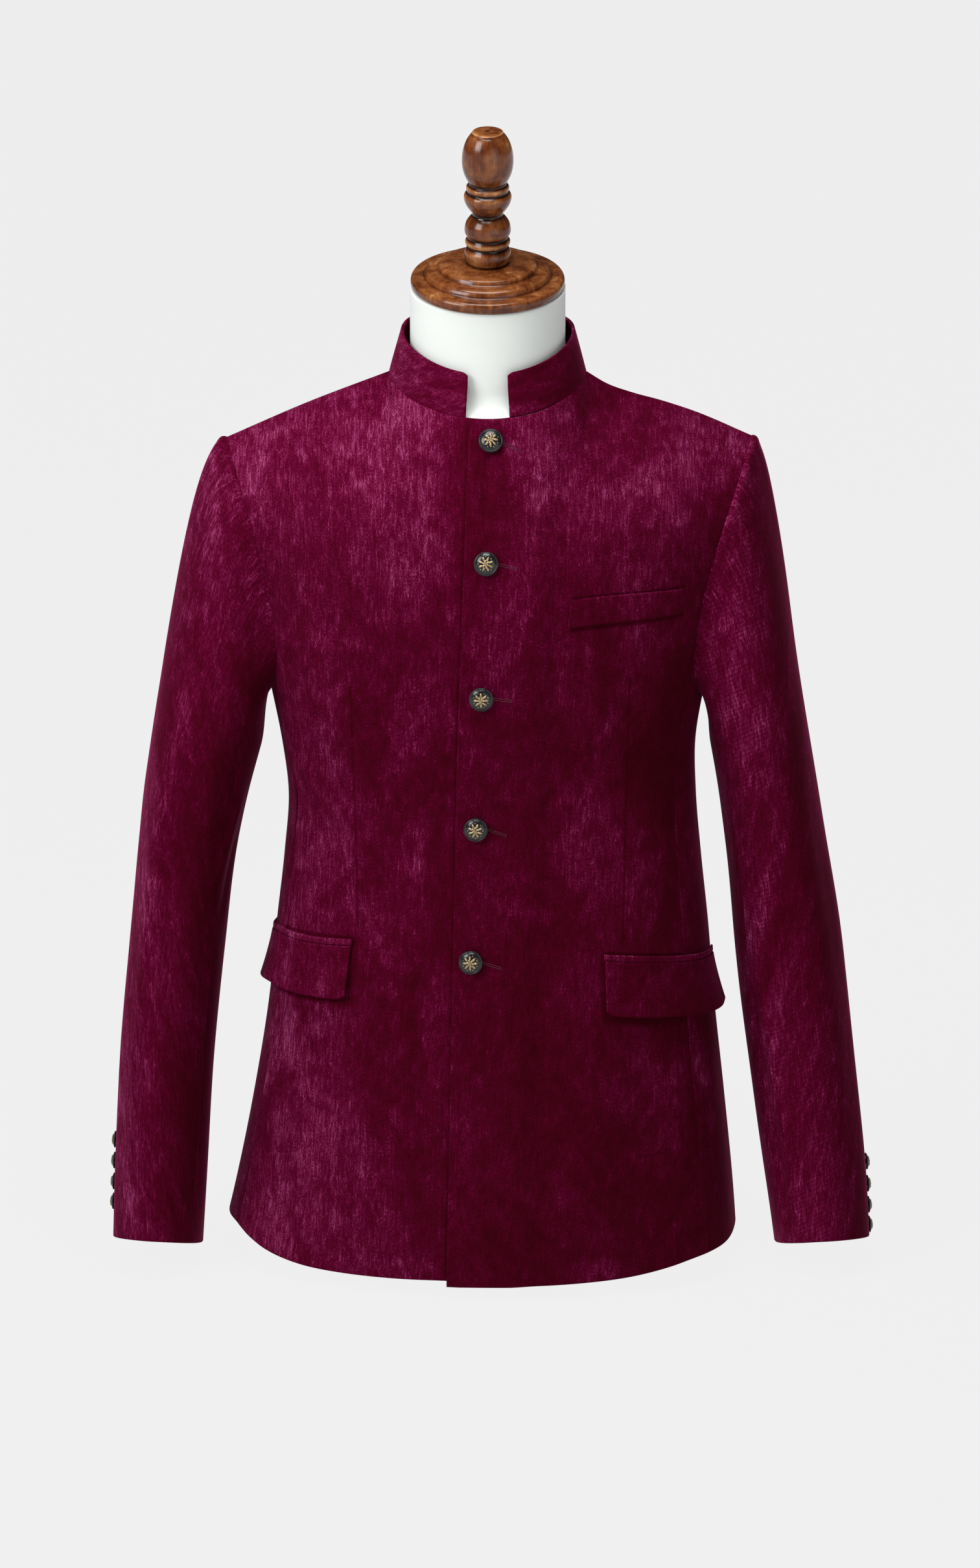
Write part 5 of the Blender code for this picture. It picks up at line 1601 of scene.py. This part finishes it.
def gilt_material():
    """Return the worn gilt of the buttons' rosettes."""
    stops = ((0.30, (0.08, 0.055, 0.028)), (0.50, (0.42, 0.310, 0.165)), (0.75, (0.88, 0.72, 0.46)))
    return speckled_material("worn_gilt", (1300.0, 3.0, 0.6), stops, 0.2, 0.42, Metallic=0.75)


def lining_material():
    """Return the plain satin lining of the same colour."""
    n = Nodes("plum_lining")
    thread = n.noise(n.cloth(), (900.0, 60.0, 1.0))
    n.colour(thread, ((0.3, (0.050, 0.004, 0.018)), (0.7, (0.085, 0.008, 0.032))))
    n.set(Roughness=0.42, Anisotropic=0.4, Sheen_Weight=0.1)
    n.relief((thread, 0.15, 0.0003))
    return n.material


def cover_material():
    """Return the form's close white jersey cover."""
    n = Nodes("white_jersey")
    knit = n.noise(n.add("Mapping", "Vector", Vector=n.place(), Scale=(1.0, 1.0, 0.6)), 1400.0)
    patch = n.noise(n.place(), 9.0, 3.0)
    both = n.weigh(knit, 0.35, n.math("MULTIPLY", patch, 0.65))
    n.colour(both, ((0.25, (0.655, 0.690, 0.660)), (0.75, (0.735, 0.765, 0.735))))
    n.set(Roughness=0.9, Sheen_Weight=0.15)
    n.relief((knit, 0.25, 0.0004))
    return n.material


def wood_material():
    """Return the reddish stained wood, with painted shade in its grooves, worn golden on the edges, and
    painted light where it faces up.
    """
    n = Nodes("stained_wood_varnish")
    where = n.place()
    rings = n.noise(n.add("Mapping", "Vector", Vector=where, Scale=(38.0, 38.0, 7.0)), 1.6, 4.0, 0.6, 2.2)
    fine = n.noise(where, (620.0, 620.0, 55.0), 3.0, 0.6)
    blotch = n.noise(where, 60.0, 3.0, 0.6)
    tone = WOOD_TONE
    for source, weight in ((rings, 0.70), (fine, 0.25), (blotch, 0.35)):
        tone = n.weigh(source, weight, tone, 0.5)
    # Worn edges are lighter, and grooves darker with painted shade
    wear_and_groove_shade = n.weigh(blotch, WEAR_AND_SHADE_RAGGED, n.parts(n.cloth())[0], 0.5)
    # Painted light where the wood faces up
    upward = n.math("MAXIMUM", n.parts(n.add("NewGeometry", "Normal"))[2], 0.0)
    n.colour(n.weigh(upward, UPWARD_PAINTED_LIGHT, n.weigh(wear_and_groove_shade, WEAR_AND_SHADE_WEIGHT, tone)), WOOD_COLOURS)
    n.set(Roughness=n.weigh(blotch, 0.22, 0.13), Specular_IOR_Level=0.30)
    n.set(Coat_Weight=0.20, Coat_Roughness=0.10)
    n.relief((fine, 0.15, 0.0003))
    return n.material


def backdrop_material():
    """Return the plain pale backdrop, lit evenly by itself."""
    n = Nodes("pale_backdrop")
    n.set(Base_Color=(FLOOR_ALBEDO, FLOOR_ALBEDO, FLOOR_ALBEDO, 1.0), Roughness=1.0, Specular_IOR_Level=0.0)
    n.set(Emission_Color=(1.0, 1.0, 1.0, 1.0), Emission_Strength=FLOOR_GLOW)
    return n.material


def declare_cloth(piece, node):
    """Hide the solid of the node that a cloth piece stands for, and attach the piece to the root body."""
    declare(piece, node)


def tube(name, path, normals, radius, finish):
    """Make a closed loop of thread along points, with the cloth's outward normals there."""
    ahead = np.roll(path, -1, axis=0) - np.roll(path, 1, axis=0)
    beside = np.cross(ahead, normals)
    beside /= np.linalg.norm(beside, axis=1, keepdims=True)
    turns = np.linspace(0.0, 2 * math.pi, THREAD_SIDES, endpoint=False)
    rings = [path + radius * (normals * math.sin(turn) + beside * math.cos(turn)) for turn in turns]
    points = np.stack(rings, axis=1).reshape(-1, 3) + SHIFT
    loops = [range(k, k + THREAD_SIDES) for k in range(0, len(points), THREAD_SIDES)]
    faces = [face for low, high in zip(loops, loops[1:] + loops[:1]) for face in band(low, high)]
    return add_object(name, points, faces, (finish,))


def make_buttonholes(thread):
    """Make the stitched rim of each front buttonhole, which shows beyond its button."""
    for k, (z, droop) in enumerate(zip(FRONT_BUTTON_HEIGHTS, BUTTONHOLE_DROOPS)):
        turn = np.linspace(0.0, 2 * math.pi, BUTTONHOLE_STEPS, endpoint=False)
        along = (np.clip(np.cos(turn) * BUTTONHOLE_BLUNT, -1.0, 1.0) + 1) / 2
        eye = smooth_step((along - BUTTONHOLE_EYE_START) / (1.0 - BUTTONHOLE_EYE_START))
        across = np.sin(turn) * BUTTONHOLE_HALF * (1.0 + BUTTONHOLE_EYE * eye)
        x = front_line(z) + BUTTONHOLE_START + (BUTTONHOLE_END - BUTTONHOLE_START) * along
        phi, level = place(x, z + droop * along + across)
        points, normals = raised(phi, level, 1.0, LAP_LIFT + THREAD_RADIUS * THREAD_SHOWS)
        declare(tube(f"buttonhole_{k + 1}", points, normals, THREAD_RADIUS, thread))


def make_coat():
    """Make all the cloth of the coat."""
    velvet = velvet_material()
    fronts = {
        1.0: velvet_material("plum_velvet_left", LEFT_DART_AND_PAINTED_SHADOW_LINES),
        -1.0: velvet_material("plum_velvet_right", RIGHT_DART_AND_PAINTED_SHADOW_LINES),
    }
    # The flaps and the collar get velvet with painted shade, the jets velvet with a painted highlight
    shaded_velvet = velvet_material("plum_velvet_painted_shade", (), FLAP_PAINTED_SHADE)
    highlit_velvet = velvet_material("plum_velvet_painted_highlight", (), JET_PAINTED_HIGHLIGHT)
    lining = lining_material()
    for side, name in ((1.0, "left"), (-1.0, "right")):
        declare_cloth(front_piece(side, fronts[side], lining), f"{name}_front")
        declare_cloth(back_piece(side, velvet, lining), f"{name}_back")
        declare_cloth(side_piece(side, velvet, lining), f"{name}_side")
        for node, piece in sleeve_pieces(side, velvet, lining):
            declare_cloth(piece, node)
    declare_cloth(collar_piece(shaded_velvet), "collar")
    declare_cloth(welt_piece(velvet), "chest_welt")
    for row in FLAPS:
        flap, jet = pocket_pieces(row, shaded_velvet, highlit_velvet)
        declare_cloth(flap, f"{row[0]}_flap")
        declare_cloth(jet, f"{row[0]}_jet")


# Camera: own-frame place, lean, and focal length for a picture 2420 pixels high
CAMERA_PLACE = (0.001944, -5.0, 1.712)
CAMERA_PITCH = 14.5
FOCAL_PIXELS = 9296.0
PICTURE_HEIGHT = 2420.0
SENSOR = 36.0


def make_camera():
    """Make the camera at the photograph's angle."""
    data = bpy.data.cameras.new("camera")
    data.sensor_fit = "AUTO"
    data.sensor_width = SENSOR
    data.lens = FOCAL_PIXELS / PICTURE_HEIGHT * SENSOR
    data.clip_end = 50.0
    made = link_object("camera", data)
    made.location = Vector(np.array(CAMERA_PLACE) + SHIFT)
    made.rotation_euler = (math.radians(90.0 - CAMERA_PITCH), 0.0, 0.0)
    bpy.context.scene.camera = made


def make_light(name, place_at, size, power):
    """Make a soft square light that looks at the coat."""
    data = bpy.data.lights.new(name, "AREA")
    data.shape = "SQUARE"
    data.size = size
    data.energy = power
    made = link_object(name, data)
    made.location = place_at
    direction = Vector(LIGHTS_AIM) - Vector(place_at)
    made.rotation_euler = direction.to_track_quat("-Z", "Y").to_euler()


def make_stage():
    """Make the pale floor, the even surroundings and the soft lights."""
    bpy.context.scene.view_settings.view_transform = "Standard"
    corners = [(x * FLOOR_HALF, y * FLOOR_HALF, 0.0) for x, y in ((-1, -1), (1, -1), (1, 1), (-1, 1))]
    floor = add_object("floor", corners, [(0, 1, 2, 3)], (backdrop_material(),))
    world = bpy.data.worlds.new("even_studio")
    bpy.context.scene.world = world
    world.use_nodes = True
    background = world.node_tree.nodes["Background"]
    background.inputs["Color"].default_value = (1.0, 1.0, 1.0, 1.0)
    background.inputs["Strength"].default_value = WORLD_STRENGTH
    for row in LIGHTS:
        make_light(*row)


def neck_turn(phi):
    """Return the neck columns' angles round the neck, -180 to 180."""
    turn = folded(phi) * 90.0 / NECK_POINT
    return np.sign(phi) * np.where(np.abs(phi) <= 90.0, turn, 180.0 - turn)


def form_angles():
    """Return the angles of the form's columns, all the way round from the centre front."""
    stops = (0.0, NECK_POINT, ARMHOLE_FRONT, ARMHOLE_BACK, 180.0 - NECK_POINT, 180.0)
    half = finer(stops, FORM_COLUMNS)
    return np.array(half + [-phi for phi in half[-2:0:-1]])


def straight_side(points, phi, front, back, flat):
    """Return ring points with the stretch under the arm drawn towards a straight line."""
    inside = (np.abs(phi) > ARMHOLE_FRONT) & (np.abs(phi) < ARMHOLE_BACK)
    share = (np.abs(phi) - ARMHOLE_FRONT)[:, None] / (ARMHOLE_BACK - ARMHOLE_FRONT)
    straight = front + (back - front) * share
    return points + (straight - points) * (inside * flat)[:, None]


def form_ring(phi, level, clear, flat):
    """Return one ring of the form's torso, inside the coat's wall."""
    side = np.where(phi < 0, -1.0, 1.0)
    rings = []
    for angles in (phi, side * ARMHOLE_FRONT, side * ARMHOLE_BACK):
        points, normals = skin(angles, level(angles))
        rings.append(points - normals * (WALL + clear))
    return straight_side(rings[0], phi, rings[1], rings[2], flat)


def form_top(phi):
    """Return points of the form's last ring below the neck, under the shoulder seams and the neckline."""
    inset = WALL + 2 * FORM_SEAT
    angle = np.radians(neck_turn(phi))
    at_neck = folded(phi) <= NECK_POINT
    out = np.stack((np.sin(angle), -np.cos(angle), np.zeros(phi.shape)), axis=-1)
    point = top_points(phi) * np.array((SHOULDER_SHARE, 1.0, 1.0)) - np.array((0.0, 0.0, inset))
    return point - out * (at_neck * inset)[:, None]


def neck_ring(turn, blend, lift, top):
    """Return a ring of the form's neck: the blend leads to the round neck, and the top to the cap."""
    angle = np.radians(turn)
    start = neckline(np.abs(turn))
    start[:, 0] *= np.sign(turn)
    x = NECK_RADIUS * np.sin(angle)
    y = NECK_MIDDLE_Y - NECK_DEPTH * np.cos(angle)
    goal = start + (np.stack((x, y, start[:, 2]), axis=-1) - start) * blend
    goal[:, 2] += lift - WALL - 2 * FORM_SEAT
    end = NECK_TOP_Z + (y - NECK_MIDDLE_Y) * math.tan(NECK_TILT)
    goal[:, 2] += (end - goal[:, 2]) * top
    return goal


def make_form(cover):
    """Make the dress form's torso and neck as one smooth closed piece."""
    phi = form_angles()
    rings = []
    for z in np.linspace(FORM_BOTTOM_Z, CHEST_Z, FORM_FINE_ROWS)[:-1]:
        clear = FORM_CLEAR + HIP_TUCK * max(0.0, HIP_TUCK_Z - z)
        flat = smooth_step((z - ARMPLATE_LOW_Z) / (ARMPLATE_HIGH_Z - ARMPLATE_LOW_Z))
        ring = form_ring(phi, lambda angles, z=z: level_at(angles, z), clear, flat)
        ring[:, 2] = z
        rings.append(ring)
    for rise in np.linspace(1.0, FORM_LAST_LEVEL, FORM_FINE_ROWS):
        clear = FORM_SEAT + FORM_CLEAR * min(1.0, (2.0 - rise) / SEAT_FADE)
        rings.append(form_ring(phi, lambda angles, rise=rise: np.full(angles.shape, rise), clear, 1.0))
    side = np.where(phi < 0, -1.0, 1.0)
    front = form_top(side * ARMHOLE_FRONT)
    back = form_top(side * ARMHOLE_BACK)
    rings.append(straight_side(form_top(phi), phi, front, back, 1.0))
    count = len(phi)
    points = list(np.concatenate(rings))
    faces = [tuple(range(count))[::-1]]
    for low in range(0, (len(rings) - 1) * count, count):
        faces.extend(band(range(low, low + count), range(low + count, low + 2 * count)))
    on_neck = np.nonzero(folded(phi) <= NECK_POINT)[0]
    on_neck = on_neck[np.argsort(neck_turn(phi[on_neck]))]
    turn = neck_turn(phi[on_neck])
    below = [(len(rings) - 1) * count + int(k) for k in on_neck]
    steps = [(*table_rows(NECK_CURVE, np.array(s)), 0.0) for s in np.linspace(0.0, 4.0, NECK_FINE_ROWS)[1:]]
    blend, lift, _ = steps[-1]
    steps.extend((blend, lift, top) for top in np.linspace(0.0, 1.0, NECK_FINE_ROWS)[1:])
    for step in steps:
        above = range(len(points), len(points) + len(turn))
        points.extend(neck_ring(turn, *step))
        faces.extend(band(below, above))
        below = above
    faces.append(tuple(below))
    declare(add_object("form_body", np.array(points) + SHIFT, faces, (cover,)), "form_torso")


make_coat()
make_buttonholes(thread_material())
make_buttons(black_material(), gilt_material())
make_stand(wood_material())
make_form(cover_material())
make_camera()
make_stage()
